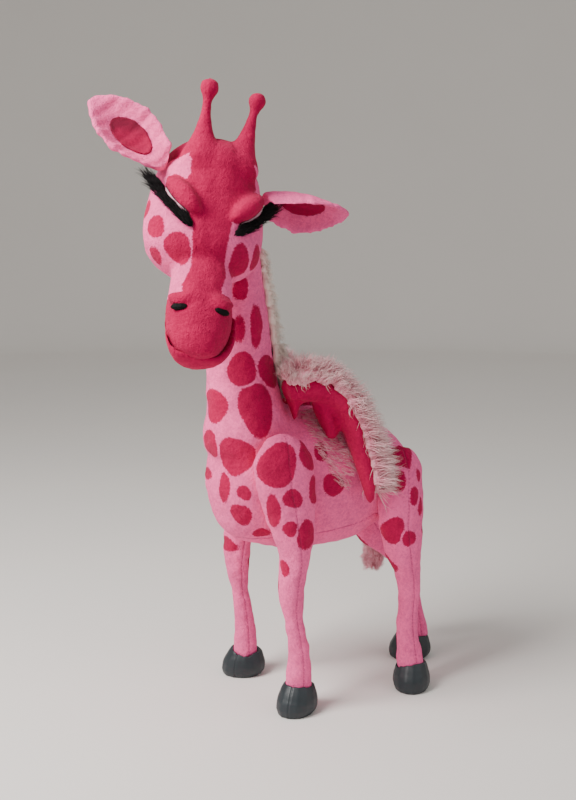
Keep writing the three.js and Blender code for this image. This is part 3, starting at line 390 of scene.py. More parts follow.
def ear_cloth(corners, normals, side, pucker):
    """Corners moved out across the ear by the share EAR_WIDER, pushed in by EAR_CUP at the middle
    and forward at the rim, and moved along their normals by puckers that grow towards the rim."""
    middle, (along, across, through) = ear_frame(side)
    lining, _ = arrays_of(cad[f"ear_lining_{side}"])
    opening = through * np.sign((lining.mean(0) - middle) @ through)
    offset = corners - middle
    sideways, lengthwise = offset @ across, offset @ along
    out = np.hypot(sideways / EAR_HALF_WIDTH, lengthwise / EAR_HALF_LENGTH)
    rim = smooth_step(0.3, 1, out)
    folds = ripple(np.column_stack([lengthwise, 0.3 * sideways, 0 * sideways]), EAR_FOLD, 19)
    corners = corners + across * (EAR_WIDER[side] * sideways)[:, None]
    corners = corners + opening * (EAR_CUP * (rim - 0.7))[:, None]
    return corners + normals * (pucker * (0.4 + 0.6 * rim) * folds)[:, None]


for side, pucker in EAR_PUCKER.items():
    reshape(ear_skins[side], lambda corners, normals: ear_cloth(corners, normals, side, pucker))
    print("ear", side, "middle at", np.round(ear_frame(side)[0], 3))

# %% [markdown]
# ## Lumps in the filling
# Loose filling gathers in lumps as long as a thumb is wide, and the cloth over them wrinkles.

# %% Lumps
def lumpy(obj, big, small, seed, size=32 * MM):
    """Moves an object's corners along their normals by smooth noise of two sizes: the filling's
    lumps, and wrinkles a third as long."""
    reshape(obj, lambda corners, normals: corners + normals * (
        big * ripple(corners, size, seed) + small * ripple(corners, size / 3, seed + 1))[:, None])


lumpy(body_skin, 0.6 * MM, 0.3 * MM, 1)
lumpy(head_skin, 0.35 * MM, 0.15 * MM, 3)
for number, skin in enumerate(leg_skins.values()):
    lumpy(skin, 0.6 * MM, 0.3 * MM, 5 + 2 * number)
for core in wing_cores.values():
    lumpy(core, 0.4 * MM, 0.15 * MM, 15, 22 * MM)

# %% [markdown]
# ## The knitted pattern
# The crimson spots are knitted into the pink cloth, so their edges step from stitch to
# stitch. Every skin keeps one number per corner: its distance to the nearest spot's edge.
# The material cuts that number. A visible spot is placed where the line of sight through
# its place in the picture meets the skin.

# %% Where the visible spots are
# Left, right, top and bottom of each spot in the picture
SPOTS_SEEN = {
    "body": [
        (226, 258, 354, 386), (202, 227, 390, 421), (240, 275, 383, 436), (263, 277, 354, 388),
        (199, 210, 367, 381), (233, 249, 278, 300), (232, 245, 315, 344), (251, 263, 305, 347),
        (202, 216, 431, 457), (218, 253, 438, 474), (218, 230, 472, 503), (237, 251, 485, 501),
        (231, 251, 503, 527), (253, 270, 528, 538), (313, 328, 443, 461), (323, 344, 473, 497),
        (369, 395, 416, 436), (202, 214, 468, 479),
    ],
    "front_leg_left": [
        (257, 299, 444, 487), (303, 315, 436, 470), (265, 281, 497, 527), (283, 303, 489, 509),
        (310, 318, 474, 506), (282, 299, 522, 537), (300, 316, 519, 552), (279, 289, 560, 576),
    ],
    "front_leg_right": [(206, 220, 492, 517), (220, 234, 537, 551)],
    "rear_leg_left": [
        (385, 413, 437, 462), (388, 409, 463, 492), (416, 421, 469, 482), (410, 420, 487, 505),
        (418, 423, 496, 517), (381, 405, 517, 544), (402, 416, 530, 547),
    ],
    "rear_leg_right": [],
    "head": [
        (145, 165, 216, 237), (150, 161, 247, 265), (163, 192, 234, 262), (143, 150, 199, 220),
        (229, 250, 249, 277), (252, 261, 246, 272),
    ],
}
print("spots read from the picture:", sum(len(boxes) for boxes in SPOTS_SEEN.values()))


# %% From the picture onto a skin
def tree_of(obj):
    """A search tree of an object's faces."""
    return BVHTree.FromPolygons(*(array.tolist() for array in arrays_of(obj)))


def level_and_rise(normal):
    """The level direction in a surface, and the one that climbs it."""
    level = unit(np.cross([0, 0, 1], normal))
    return level, np.cross(normal, level)


def seen_spots(obj, boxes):
    """Spots on an object behind picture boxes, as rows of centre, normal and two radii. A radius is
    half the box times the distance over the focal length and over the foreshortening that way."""
    tree = tree_of(obj)
    rows = []
    for x0, x1, y0, y1 in boxes:
        direction = sight((x0 + x1) / 2, (y0 + y1) / 2)
        hit, normal, _, distance = tree.ray_cast(Vector(CAMERA_AT), Vector(direction))
        if hit is None:
            continue
        level, rise = level_and_rise(normal)
        scale = distance * (direction @ LOOK) / PIXELS_PER_SLOPE / 2
        wide = (x1 - x0) * scale / max(abs(level @ RIGHT), 0.45)
        tall = (y1 - y0) * scale / max(abs(rise @ ABOVE), 0.6)
        rows.append([*hit, *normal, wide, tall])
    return rows


# %% Spots on the side that the camera doesn't see
SPOT_GAP = 5 * MM


def hidden_spots(obj, rows, count, sizes, low, high, seed):
    """Adds up to count spots: random points of an object between two heights that face away from
    the camera and stand clear of every spot before them by SPOT_GAP."""
    corners, faces = arrays_of(obj)
    rng = np.random.default_rng(seed)
    normals = normals_of(corners, faces)
    tries = rng.integers(0, len(corners), 40 * count)
    rows = list(rows)
    wanted = len(rows) + count
    for point, normal in zip(corners[tries], normals[tries]):
        radius = rng.uniform(*sizes)
        to_camera = CAMERA_AT - point
        if normal @ to_camera > 0.08 * np.linalg.norm(to_camera) or not low < point[2] < high:
            continue
        if any(np.linalg.norm(point - row[:3]) < radius + max(row[6:]) + SPOT_GAP for row in rows):
            continue
        rows.append([*point, *normal, radius * rng.uniform(0.85, 1.1), radius * rng.uniform(0.9, 1.2)])
        if len(rows) == wanted:
            break
    return rows


# %% The distance to a spot's edge
FAR, PINK_GAP = 30.0, 1.8


def spot_distance(points, normals, rows, seed):
    """Each point's distance to the nearest spot's edge in millimetres, negative inside, FAR at most.
    A spot is an oval in its tangent plane whose radius waves two and three times round it. Where
    two spots meet, a band of PINK_GAP between them stays pink."""
    rng = np.random.default_rng(seed)
    nearest = second = np.full(len(points), FAR)
    for row in rows:
        centre, normal, wide, tall = row[:3], unit(np.array(row[3:6])), *row[6:]
        level, rise = level_and_rise(normal)
        offset = points - centre
        u, v, depth = offset @ level, offset @ rise, offset @ normal
        angle = np.arctan2(v / tall, u / wide)
        wave = 0.09 * np.sin(2 * angle + rng.uniform(0, 6)) + 0.06 * np.sin(3 * angle + rng.uniform(0, 6))
        away = (np.hypot(u / wide, v / tall) - 1 - wave) * min(wide, tall) / MM
        elsewhere = (normals @ normal < 0.05) | (np.abs(depth) > 1.6 * max(wide, tall))
        away = np.where(elsewhere, FAR, away)
        second = np.minimum(second, np.maximum(nearest, away))
        nearest = np.minimum(nearest, away)
    return np.maximum(nearest, PINK_GAP - (second - nearest))


# %% Spots and seams kept on a skin
NO_SEAM = 20.0
SEAM_DEPTH, SEAM_HALF_WIDTH = 0.5 * MM, 1.5


def patterned(obj, rows, seed, extra=None, seam=None):
    """Keeps the spot distance, the rest place and the distance to the nearest seam on an object's
    corners, and draws the cloth in by SEAM_DEPTH exp(-(away / SEAM_HALF_WIDTH)^2)."""
    corners, faces = arrays_of(obj)
    normals = normals_of(corners, faces)
    distance = spot_distance(corners, normals, rows, seed)
    if extra is not None:
        distance = np.minimum(distance, extra(corners))
    away = np.full(len(corners), NO_SEAM) if seam is None else seam(corners, normals)
    stored(obj, "spot", distance)
    stored(obj, "rest", corners)
    stored(obj, "seam", away)
    moved_to(obj, corners - normals * (SEAM_DEPTH * np.exp(-((away / SEAM_HALF_WIDTH) ** 2)))[:, None])


def leg_seam(corners, normals):
    """Distance in millimetres to the seams down a leg's inner and outer side, which run at the
    middle of the leg from front to back."""
    heights = np.linspace(corners[:, 2].min(), corners[:, 2].max(), 24)
    near = np.abs(corners[:, 2:] - heights) < 8 * MM
    middles = (corners[:, 1:2] * near).sum(0) / near.sum(0)
    away = np.abs(corners[:, 1] - np.interp(corners[:, 2], heights, middles)) / MM
    return np.where(np.abs(normals[:, 0]) > 0.45, away, NO_SEAM)


# %% [markdown]
# ## The head's pattern
# A crimson blaze runs from the horns down the nose and widens into the muzzle.

# %% Blaze
# The blaze's two edges in the picture, from the crown down to the muzzle
BLAZE_RIGHT_SIDE = [
    (189, 156), (192, 160), (191, 172), (187, 178), (180, 184), (178, 192), (184, 212), (193, 226),
    (192, 236), (192, 256), (191, 267), (187, 275), (182, 284),
]
BLAZE_LEFT_SIDE = [
    (254, 166), (256, 178), (256, 190), (250, 200), (240, 208), (234, 218), (230, 233), (227, 247),
    (225, 261), (226, 277), (222, 288),
]
MUZZLE_START = (200, 289)


def seen_places(obj, places):
    """Where the lines of sight through picture places meet an object."""
    tree = tree_of(obj)
    hits = [tree.ray_cast(Vector(CAMERA_AT), Vector(sight(*place)))[0] for place in places]
    return np.array([hit for hit in hits if hit is not None])


def edge_table(places):
    """An edge of the blaze as two rows, along the head and across it, in order along the head."""
    local = in_head(seen_places(head_skin, places))
    local = local[np.argsort(local[:, 1])]
    return local[:, 1], local[:, 0]


right_edge, left_edge = edge_table(BLAZE_RIGHT_SIDE), edge_table(BLAZE_LEFT_SIDE)
crown_start = max(right_edge[0].max(), left_edge[0].max())
muzzle_start = in_head(seen_places(head_skin, [MUZZLE_START]))[0, 1]
print("blaze from", round(crown_start, 1), "to", round(muzzle_start, 1), "mm along the head")


# %% The crimson part of the head
LIDS = ["eyelid_left", "eyelid_right"]
LID_MARGIN, LID_REACH = 1.6, 6 * MM
CROWN_BACK, CROWN_BOTTOM, HORN_FOOT = 5, 10, 43


def distance_to(points, obj):
    """Each point's distance to an object's surface, LID_REACH at most."""
    tree = tree_of(obj)
    found = (tree.find_nearest(Vector(point), LID_REACH)[3] for point in points)
    return np.array([LID_REACH if away is None else away for away in found])


def blaze(points):
    """Distance to the blaze's edge in millimetres, negative inside: how far a point lies past either
    edge. The crown, the horns above HORN_FOOT, the muzzle and the lids with LID_MARGIN round them
    are crimson too, and the nearest counts."""
    x, y, z = in_head(points).T
    across = np.maximum(np.interp(y, *right_edge) - x, x - np.interp(y, *left_edge))
    band = np.maximum(across, np.maximum(-z * 0.8, y - crown_start - CROWN_BACK))
    crown = np.maximum(crown_start - y, CROWN_BOTTOM - z) + 1.5 * ripple(points, 25 * MM, 5)
    muzzle = y - muzzle_start + 2 * ripple(points, 30 * MM, 8) + 0.1 * np.abs(x)
    lid = np.minimum(*(distance_to(points, cad[name]) for name in LIDS)) / MM
    return np.minimum.reduce([band, crown, muzzle, HORN_FOOT - z, lid - LID_MARGIN])


# %% [markdown]
# A wing's inner corner is blunt on the real giraffe, so the cloth around its tip is drawn up.

# %% Blunt corners of the wings
WING_CORNER = (296, 410)
CORNER_RISE, CORNER_RADIUS = 8 * MM, 7 * MM
MIDDLE_X = joint_at["tail_swing"][0]
corner = seen_places(wing_cores["left"], [WING_CORNER])[0]
for side, sign in SIGNS.items():
    centre = corner * [sign, 1, 1] + [MIDDLE_X * (1 - sign), 0, 0]
    reshape(wing_cores[side], lambda corners, normals:
            corners + bump(corners, centre, CORNER_RADIUS) * [0, 0, CORNER_RISE])
print("left wing's corner at", np.round(corner, 3))

# %% [markdown]
# The body gets the spots that are seen, their mirror images on the far side, and made-up ones
# where there is room. A seam runs along each flank, where the belly's panel is sewn in.

# %% Spots and seams on the body
body_spots = seen_spots(body_skin, SPOTS_SEEN["body"])
for row in list(body_spots):
    other = [2 * MIDDLE_X - row[0], row[1], row[2], -row[3], *row[4:]]
    if all(np.linalg.norm(np.subtract(other[:3], r[:3])) > max(other[6:]) + max(r[6:]) for r in body_spots):
        body_spots.append(other)
body_spots = hidden_spots(body_skin, body_spots, 46, (7 * MM, 15 * MM), 0.14, 0.37, 11)
# Places in the picture along the seam
BELLY_SEAM = [(314, 534), (330, 531), (345, 527), (361, 522), (374, 514)]
belly = seen_places(body_skin, BELLY_SEAM)
belly = belly[np.argsort(belly[:, 1])]


def belly_seam(corners, normals):
    """Distance in millimetres to the belly panel's seam, whose height is read from the picture."""
    away = np.abs(corners[:, 2] - np.interp(corners[:, 1], belly[:, 1], belly[:, 2])) / MM
    return np.where(np.abs(normals[:, 0]) > 0.2, away, NO_SEAM)


patterned(body_skin, body_spots, 21, seam=belly_seam)
print("spots on the body:", len(body_spots))

# %% Spots on the legs and the head
for number, (leg, skin) in enumerate(leg_skins.items()):
    rows = seen_spots(skin, SPOTS_SEEN[leg])
    rows = hidden_spots(skin, rows, 12, (5 * MM, 11 * MM), 0.1, 0.25, 31 + number)
    patterned(skin, rows, 41 + number, seam=leg_seam)
head_rows = seen_spots(head_skin, SPOTS_SEEN["head"])
head_rows = hidden_spots(head_skin, head_rows, 12, (5 * MM, 9 * MM), 0.33, 0.45, 17)
patterned(head_skin, head_rows, 23, blaze)
print("spots on the head:", len(head_rows))

# %% [markdown]
# ## Materials
# The plush is a short knitted pile: rough, with a soft sheen at grazing angles, a stitch
# grain about a millimetre wide and slightly uneven dye.

# %% Material tools
def new_material(name):
    """A material, its Principled shader, a function that adds nodes and one that links them."""
    material = bpy.data.materials.new(name)
    material.use_nodes = True
    tree = material.node_tree

    def add(kind, settings=None, **inputs):
        made = tree.nodes.new("ShaderNode" + kind)
        for key, value in (settings or {}).items():
            setattr(made, key, value)
        for key, value in inputs.items():
            socket = made.inputs[int(key[1:])] if key[1:].isdigit() else made.inputs[key.replace("_", " ")]
            if isinstance(value, bpy.types.NodeSocket):
                tree.links.new(value, socket)
            else:
                socket.default_value = value
        return made

    return material, tree.nodes["Principled BSDF"], add, tree.links.new


def linear(red, green, blue):
    """A screen colour of 0 to 255 as linear light: ((c + 0.055) / 1.055) ^ 2.4."""
    return (*[((c / 255 + 0.055) / 1.055) ** 2.4 for c in (red, green, blue)], 1.0)


def kept(add, name, output="Fac"):
    """The numbers kept on a piece's corners under a name."""
    return add("Attribute", {"attribute_name": name}).outputs[output]


def noise(add, where, scale, detail, roughness=0.5):
    """Smooth noise, about 1 / scale metres wide."""
    settings = {"Vector": where, "Scale": scale, "Detail": detail, "Roughness": roughness}
    return add("TexNoise", **settings).outputs["Fac"]


def remapped(add, value, low, high, to_low, to_high):
    """A value moved in a straight line from one range to another, and cut off at its ends."""
    ends = {"From_Min": low, "From_Max": high, "To_Min": to_low, "To_Max": to_high}
    return add("MapRange", Value=value, **ends).outputs["Result"]


def reckoned(add, operation, *values):
    """The result of a Math node."""
    inputs = {f"i{number}": value for number, value in enumerate(values)}
    return add("Math", {"operation": operation}, **inputs).outputs[0]


def mixed(add, share, one, other, blend="MIX"):
    """Two colours mixed by a share."""
    return add("MixRGB", {"blend_type": blend}, Fac=share, Color1=one, Color2=other).outputs[0]


def finished(shader, **values):
    """Sets plain numbers and colours on a shader's own sockets."""
    for key, value in values.items():
        shader.inputs[key.replace("_", " ")].default_value = value


print("the cloth's pink in linear light:", np.round(linear(250, 100, 162), 3))

# %% Knitted plush
STITCH = 0.9
SEAM_SHADE = (0.25, 0.02, 0.08, 1)


def plush(name, ground, spot=None, bump=0.6, mark=None):
    """Knitted pile. The spot distance is jogged in cells one stitch wide, blurred by the fuzz and cut. Bump
    is the stitches, a finer fuzz and pills two millimetres wide. A mark is a number from 0 to 1 that turns
    the cloth black: a thin dark line on the head where it meets the lower lids, and painted shade on the
    ear linings. A seam is a fine darker groove."""
    material, shader, add, join = new_material(name)
    where = kept(add, "rest", "Vector")
    mottle = noise(add, where, 55.0, 4.0, 0.6)
    fuzz = noise(add, where, 1500.0, 3.0, 0.7)
    pills = noise(add, where, 430.0, 2.0, 0.6)
    dye = remapped(add, mottle, 0.3, 0.7, 0.88, 1.1)
    dye = reckoned(add, "MULTIPLY", dye, remapped(add, fuzz, 0.25, 0.75, 0.86, 1.12))
    dye = reckoned(add, "MULTIPLY", dye, remapped(add, pills, 0.3, 0.7, 0.86, 1.12))
    stitch = add("TexVoronoi", {"feature": "F1"}, Vector=where, Scale=1 / (STITCH * MM), Randomness=0.8)
    relief = reckoned(add, "MULTIPLY_ADD", stitch.outputs["Distance"], -0.6, fuzz)
    relief = reckoned(add, "MULTIPLY_ADD", pills, 2.0, relief)
    colour = ground
    if spot is not None:
        cell = add("VectorMath", {"operation": "SNAP"}, i0=where, i1=(STITCH * MM,) * 3).outputs[0]
        jog = add("TexWhiteNoise", {"noise_dimensions": "3D"}, Vector=cell).outputs["Value"]
        fringe = reckoned(add, "MULTIPLY_ADD", jog, STITCH, kept(add, "spot"))
        fringe = reckoned(add, "MULTIPLY_ADD", fuzz, 1.2, fringe)
        colour = mixed(add, remapped(add, fringe, 1.4, 0.7, 0.0, 1.0), ground, spot)
    colour = mixed(add, 1.0, colour, dye, "MULTIPLY")
    if spot is not None:
        groove = remapped(add, kept(add, "seam"), 0.15, 0.9, 1.0, 0.0)
        colour = mixed(add, reckoned(add, "MULTIPLY", groove, 0.45), colour, SEAM_SHADE)
        relief = reckoned(add, "MULTIPLY_ADD", groove, -1.5, relief)
    if mark is not None:
        colour = mixed(add, kept(add, mark), colour, linear(26, 20, 24))
    join(colour, shader.inputs["Base Color"])
    rise = add("Bump", Height=relief, Strength=bump, Distance=0.0009).outputs["Normal"]
    join(rise, shader.inputs["Normal"])
    finished(shader, Roughness=0.92, Specular_IOR_Level=0.2, Sheen_Weight=0.05, Sheen_Roughness=0.45,
             Sheen_Tint=(1.0, 0.7, 0.8, 1.0))
    return material


PINK = linear(250, 100, 162)
CRIMSON = linear(176, 0, 70)
pink_plush = plush("pink_plush_with_crimson_spots", PINK, CRIMSON)
plain_pink = plush("plain_pink_plush", PINK)
crimson_plush = plush("crimson_velour", CRIMSON, bump=0.25)
pale_plush = plush("pale_lid_velour", linear(232, 178, 196), bump=0.25)
head_plush = plush("head_plush_with_dark_lid_lines", PINK, CRIMSON, mark="liner")
# The ear linings' mark, depth, is painted shade, darkest under the ear's upper rim.
shaded_plush = plush("ear_lining_velour", CRIMSON, bump=0.3, mark="depth")
print("plush finishes:", [m.name for m in bpy.data.materials if "plush" in m.name or "velour" in m.name])


# %% Long pile and lash fibre
def furry(name, root, tip, sheen=0.15):
    """Long pile: every strand has its own tone, and runs from a darker root to a paler tip."""
    material, shader, add, join = new_material(name)
    colour = mixed(add, kept(add, "along"), root, tip)
    tone = remapped(add, kept(add, "tone"), 0, 1, 0.82, 1.15)
    join(mixed(add, 1.0, colour, tone, "MULTIPLY"), shader.inputs["Base Color"])
    finished(shader, Roughness=0.7, Specular_IOR_Level=0.15, Sheen_Weight=sheen)
    return material


wing_pile = furry("wing_pile", linear(242, 150, 176), linear(255, 226, 224))
mane_pile = furry("mane_pile", linear(240, 214, 206), linear(255, 248, 238))
tuft_pile = furry("tuft_pile", linear(246, 150, 174), linear(255, 206, 216))
flank_pile = furry("flank_pile", linear(246, 150, 182), linear(255, 206, 216))
lash_fibre = furry("lash_fibre", linear(10, 8, 9), linear(26, 22, 24), sheen=0.0)


# %% Leatherette and wire
def leatherette(name, colour):
    """Coated cloth: fine pebble grain, half gloss, and uneven tone as from handling."""
    material, shader, add, join = new_material(name)
    where = add("TexCoord").outputs["Object"]
    pebble = add("TexVoronoi", {"feature": "DISTANCE_TO_EDGE"}, Vector=where, Scale=900.0)
    haze = noise(add, where, 70.0, 5.0)
    dyed = mixed(add, 1.0, colour, remapped(add, haze, 0, 1, 0.7, 1.5), "MULTIPLY")
    join(dyed, shader.inputs["Base Color"])
    join(remapped(add, haze, 0, 1, 0.34, 0.58), shader.inputs["Roughness"])
    rise = add("Bump", Height=pebble.outputs["Distance"], Strength=0.25, Distance=0.0003)
    join(rise.outputs["Normal"], shader.inputs["Normal"])
    return material


hoof_cover = leatherette("hoof_leatherette", linear(30, 38, 43))
steel, steel_shader, add, join = new_material("bare_wire")
grain = noise(add, add("TexCoord").outputs["Object"], 900.0, 3.0)
join(remapped(add, grain, 0, 1, 0.3, 0.5), steel_shader.inputs["Roughness"])
finished(steel_shader, Base_Color=(0.45, 0.46, 0.47, 1), Metallic=1.0)


def painted(obj, material):
    """Gives an object one material."""
    obj.data.materials.clear()
    obj.data.materials.append(material)


# %% [markdown]
# ## Lower lids, ear linings and hooves
# These are remeshed finely and smoothed, without a simulation. A lining takes its ear's shape.
# The plush material reads each corner's rest place.

# %% Small pieces, smoothed
lower_lids = by_side("lower_lid_{}_skin", "lower_lid_{}", 0.5 * MM, 4, 0)
linings = by_side("ear_lining_{}_skin", "ear_lining_{}", 0.6 * MM, 4, 0)
for side, pucker in EAR_PUCKER.items():
    reshape(linings[side], lambda corners, normals: ear_cloth(corners, normals, side, pucker - 0.1 * MM))
HOOVES = [leg.replace("leg", "hoof") for leg in LEGS]
hooves = {hoof: stuffed(hoof + "_cover", [hoof], 1.2 * MM, 0) for hoof in HOOVES}
for obj in hooves.values():
    reshape(obj, lambda corners, normals: np.maximum(corners, [-np.inf, -np.inf, 0]))
small = [*lower_lids.values(), *linings.values(), *wing_cores.values(), *ear_skins.values()]
for obj in [*small, tail_skin, lip_skin]:
    stored(obj, "rest", arrays_of(obj)[0])
print("small pieces:", [obj.name for obj in small])

# %% [markdown]
# The head skin is painted near black in a thin line where it meets each lower lid, above the pale crescent
# of the lower lid. The ear's lining gets painted shade: darkened all over, and more towards its upper rim,
# which would shade it. Both are numbers from 0 to 1 on the corners.

# %% Dark lid lines and painted shade in the ear linings
# Head corners within about a millimetre of a lower lid are painted near black, in a thin line.
corners, _ = arrays_of(head_skin)
away = np.minimum(distance_to(corners, lower_lids["left"]), distance_to(corners, lower_lids["right"]))
edge = smooth_step(1.3 * MM, 0.7 * MM, away)
stored(head_skin, "liner", edge)
print("head corners in a lid's black edge:", int((edge > 0.5).sum()))
# Painted shade on each lining: a share of 0.3 towards black all over, rising by 0.35 towards the top, under
# the ear's upper rim.
for lining in linings.values():
    corners, _ = arrays_of(lining)
    upwards = corners[:, 2] - corners[:, 2].mean() + 2 * MM * ripple(corners, 9 * MM, 33)
    stored(lining, "depth", 0.3 + 0.35 * smooth_step(-2 * MM, 8 * MM, upwards))

# %% [markdown]
# A hoof's cover is sewn up the middle of its toe, and shallow creases run round it.

# %% Seams on the hooves
TOE_SEAM, TOE_HALF_WIDTH = 0.6 * MM, 0.8 * MM
CREASE, CREASE_STEP = 0.06 * MM, 6.8 * MM


def sewn(corners, normals):
    """Corners drawn in by TOE_SEAM exp(-(d / TOE_HALF_WIDTH)^2) at a distance d from the toe seam,
    and by a shallow wave in height, CREASE deep, with a seeded unevenness."""
    low, high = corners[:, 2].min(), corners[:, 2].max()
    top = corners[corners[:, 2] > low + 0.8 * (high - low)].mean(0)
    bottom = corners[corners[:, 2] < low + 0.2 * (high - low)].mean(0)
    toe = unit((bottom - top) * [1, 1, 0])
    sideways = np.cross([0, 0, 1], toe)
    across, ahead = (corners - top) @ sideways, (corners - top) @ toe
    groove = np.exp(-((across / TOE_HALF_WIDTH) ** 2)) * (ahead > 0) * (normals[:, 2] > -0.5)
    wave = np.sin((corners[:, 2] - low) / CREASE_STEP * math.tau + 2 * ripple(corners, 20 * MM, 9))
    crease = CREASE * wave * smooth_step(low + 3 * MM, low + 6 * MM, corners[:, 2])
    return corners - normals * (TOE_SEAM * groove + crease)[:, None]


for obj in hooves.values():
    reshape(obj, sewn)
print("corners of the hoof covers:", [len(obj.data.vertices) for obj in hooves.values()])

# %% [markdown]
# ## Long fur
# Each strand is a slim closed spike that bends over with the combing. All strands of a piece
# are worked out at once, as arrays.

# %% Roots
def scattered(corners, faces, count, seed, keep=None):
    """Random points on a surface, evenly spread, with their normals. keep says which may stay."""
    rng = np.random.default_rng(seed)
    a, b, c = (corners[faces[:, i]] for i in range(3))
    area = np.linalg.norm(np.cross(b - a, c - a), axis=1)
    chosen = rng.choice(len(faces), 3 * count, p=area / area.sum())
    u, v = rng.uniform(size=(2, 3 * count))
    flip = u + v > 1
    u, v = np.where(flip, 1 - u, u), np.where(flip, 1 - v, v)
    points = a[chosen] + u[:, None] * (b - a)[chosen] + v[:, None] * (c - a)[chosen]
    normals = normals_of(corners, faces)[faces[chosen, 0]]
    if keep is not None:
        mask = keep(points, normals)
        points, normals = points[mask], normals[mask]
    return points[:count], normals[:count]


# %% Strands
def strands(name, roots, start, end, length, width, seed, rings=4, curl=0.12, stray=0.25, lock=0.0,
            avoid=None):
    """Spikes along quadratic curves: from a root half the length towards start, then half towards
    end, both with a seeded stray, and a sideways wave. Each ring has three corners, and the width
    falls towards the tip. One strand in 16 leads a lock: those nearest to it lean towards its tip
    and its tone by the share lock. Strands of which avoid holds anywhere are left out."""
    rng = np.random.default_rng(seed)
    count = len(roots)
    long = length * rng.uniform(0.65, 1.15, (count, 1))
    first = unit(start + stray * rng.normal(size=(count, 3)))
    second = unit(end + 1.4 * stray * rng.normal(size=(count, 3)))
    middle = roots + first * long * 0.5
    tip = middle + second * long * 0.5
    leaders = rng.choice(count, max(1, count // 16), replace=False)
    follows = leaders[np.argmin(((roots[:, None] - roots[leaders]) ** 2).sum(-1), axis=1)]
    tip = tip + lock * (tip[follows] - tip)
    middle = middle + 0.4 * lock * (middle[follows] - middle)
    tone = rng.uniform(0, 1, count)
    tone = tone + lock * (tone[follows] - tone)
    s = np.linspace(0, 1, rings + 1)[None, :, None]
    path = (1 - s) ** 2 * roots[:, None] + 2 * s * (1 - s) * middle[:, None] + s**2 * tip[:, None]
    ahead = unit(np.gradient(path, axis=1))
    side = unit(np.cross(ahead, rng.normal(size=(count, 1, 3))))
    wave = np.sin(s * rng.uniform(3, 8, (count, 1, 1)) + rng.uniform(0, 6, (count, 1, 1)))
    path = path + side * wave * s * long[:, None] * curl
    other = np.cross(ahead, side)
    thick = width * rng.uniform(0.7, 1.2, (count, 1, 1)) * (1 - 0.85 * s**1.5)
    if avoid is not None:
        free = ~avoid(path.reshape(-1, 3)).reshape(count, -1).any(1)
        path, side, other, thick, tone = path[free], side[free], other[free], thick[free], tone[free]
        count = len(path)
    turn = np.arange(3) / 3 * math.tau
    circle = side[:, :, None] * np.cos(turn)[:, None] + other[:, :, None] * np.sin(turn)[:, None]
    corners = (path[:, :rings, None] + circle[:, :rings] * thick[:, :rings, None]).reshape(count, -1, 3)
    corners = np.concatenate([corners, path[:, rings:]], axis=1)
    per = 3 * rings + 1
    shape = []
    for k in range(3):
        n = (k + 1) % 3
        for r in range(rings - 1):
            a, b = 3 * r + k, 3 * r + n
            shape += [(a, b, b + 3), (a, b + 3, a + 3)]
        shape.append((3 * (rings - 1) + k, 3 * (rings - 1) + n, per - 1))
    shape.append((0, 2, 1))
    faces = (np.arange(count)[:, None, None] * per + np.array(shape)[None]).reshape(-1, 3)
    made = piece(name, corners.reshape(-1, 3), faces)
    along = np.concatenate([np.repeat(np.arange(rings) / rings, 3), [1.0]])
    stored(made, "along", np.tile(along, count))
    stored(made, "tone", np.repeat(tone, per))
    return made


# %% Backing
PAD_GRAIN = 2.2 * MM


def fur_pad(node, sink):
    """The backing under the long pile: the node's form with every corner moved in by sink."""
    pad = stuffed(f"{node}_backing", [node], PAD_GRAIN, 0, levels=0)
    corners, faces = arrays_of(pad)
    for _ in range(4):
        corners = corners - normals_of(corners, faces) * sink / 4
        corners = relaxed(corners, faces, 3)
    moved_to(pad, corners)
    stored(pad, "along", np.full(len(corners), 0.25))
    stored(pad, "tone", 0.4 + 0.2 * ripple(corners, 6 * MM, 7))
    return pad


def over(obj, points):
    """Each point's height over an object's nearest face, negative inside, and that face's normal."""
    tree = tree_of(obj)
    found = [tree.find_nearest(Vector(point)) for point in points]
    places, facing = (np.array([hit[i] for hit in found]) for i in range(2))
    return ((points - places) * facing).sum(1), facing


# %% [markdown]
# The fur of a wing is sewn along its crimson core. Beside the core the strands lean away from it,
# and one that would still come through its cloth is left out. Low on the wing they are longer.

# %% Fur of the wings
WING_STRANDS, WING_STRAND_WIDTH = 12000, 0.36 * MM
SHORTEST, LONGER_BY = 16 * MM, 8 * MM
LEAN, LEAN_REACH = 1.3, 6 * MM
fur_pads, wing_fur = {}, {}
for side, sign in SIGNS.items():
    fur_pads[side] = fur_pad(f"wing_fur_{side}", 5 * MM)
    roots, normals = scattered(*arrays_of(fur_pads[side]), WING_STRANDS, 61 + sign)
    comb = np.array([0.25 * sign, 0.5, -0.75])
    low, high = roots[:, 2].min(), roots[:, 2].max()
    length = SHORTEST + LONGER_BY * smooth_step(high, low, roots[:, 2:])
    core = wing_cores[side]
    height, facing = over(core, roots)
    lean = facing * (LEAN * np.exp(-((np.maximum(height, 0) / LEAN_REACH) ** 2)))[:, None]
    wing_fur[side] = strands(
        f"wing_fur_{side}_pile", roots, unit(normals + lean), unit(normals * 0.8 + comb + lean), length,
        WING_STRAND_WIDTH, 71 + sign, rings=3, lock=0.4, avoid=lambda path: over(core, path)[0] < 0.1 * MM)
    print(side, "wing fur:", len(wing_fur[side].data.polygons), "faces")


# %% Mane and tail tuft
PILE_LENGTH = 11 * MM


def furred(node, name, sink, count, seed, comb, rise, width, lock):
    """A node's backing and its pile: strands that leave along the normal, then bend to rise times
    the normal plus the combing."""
    pad = fur_pad(node, sink)
    roots, normals = scattered(*arrays_of(pad), count, seed)
    end = unit(normals * rise + comb)
    return pad, strands(name, roots, normals, end, PILE_LENGTH, width, seed + 2, lock=lock)


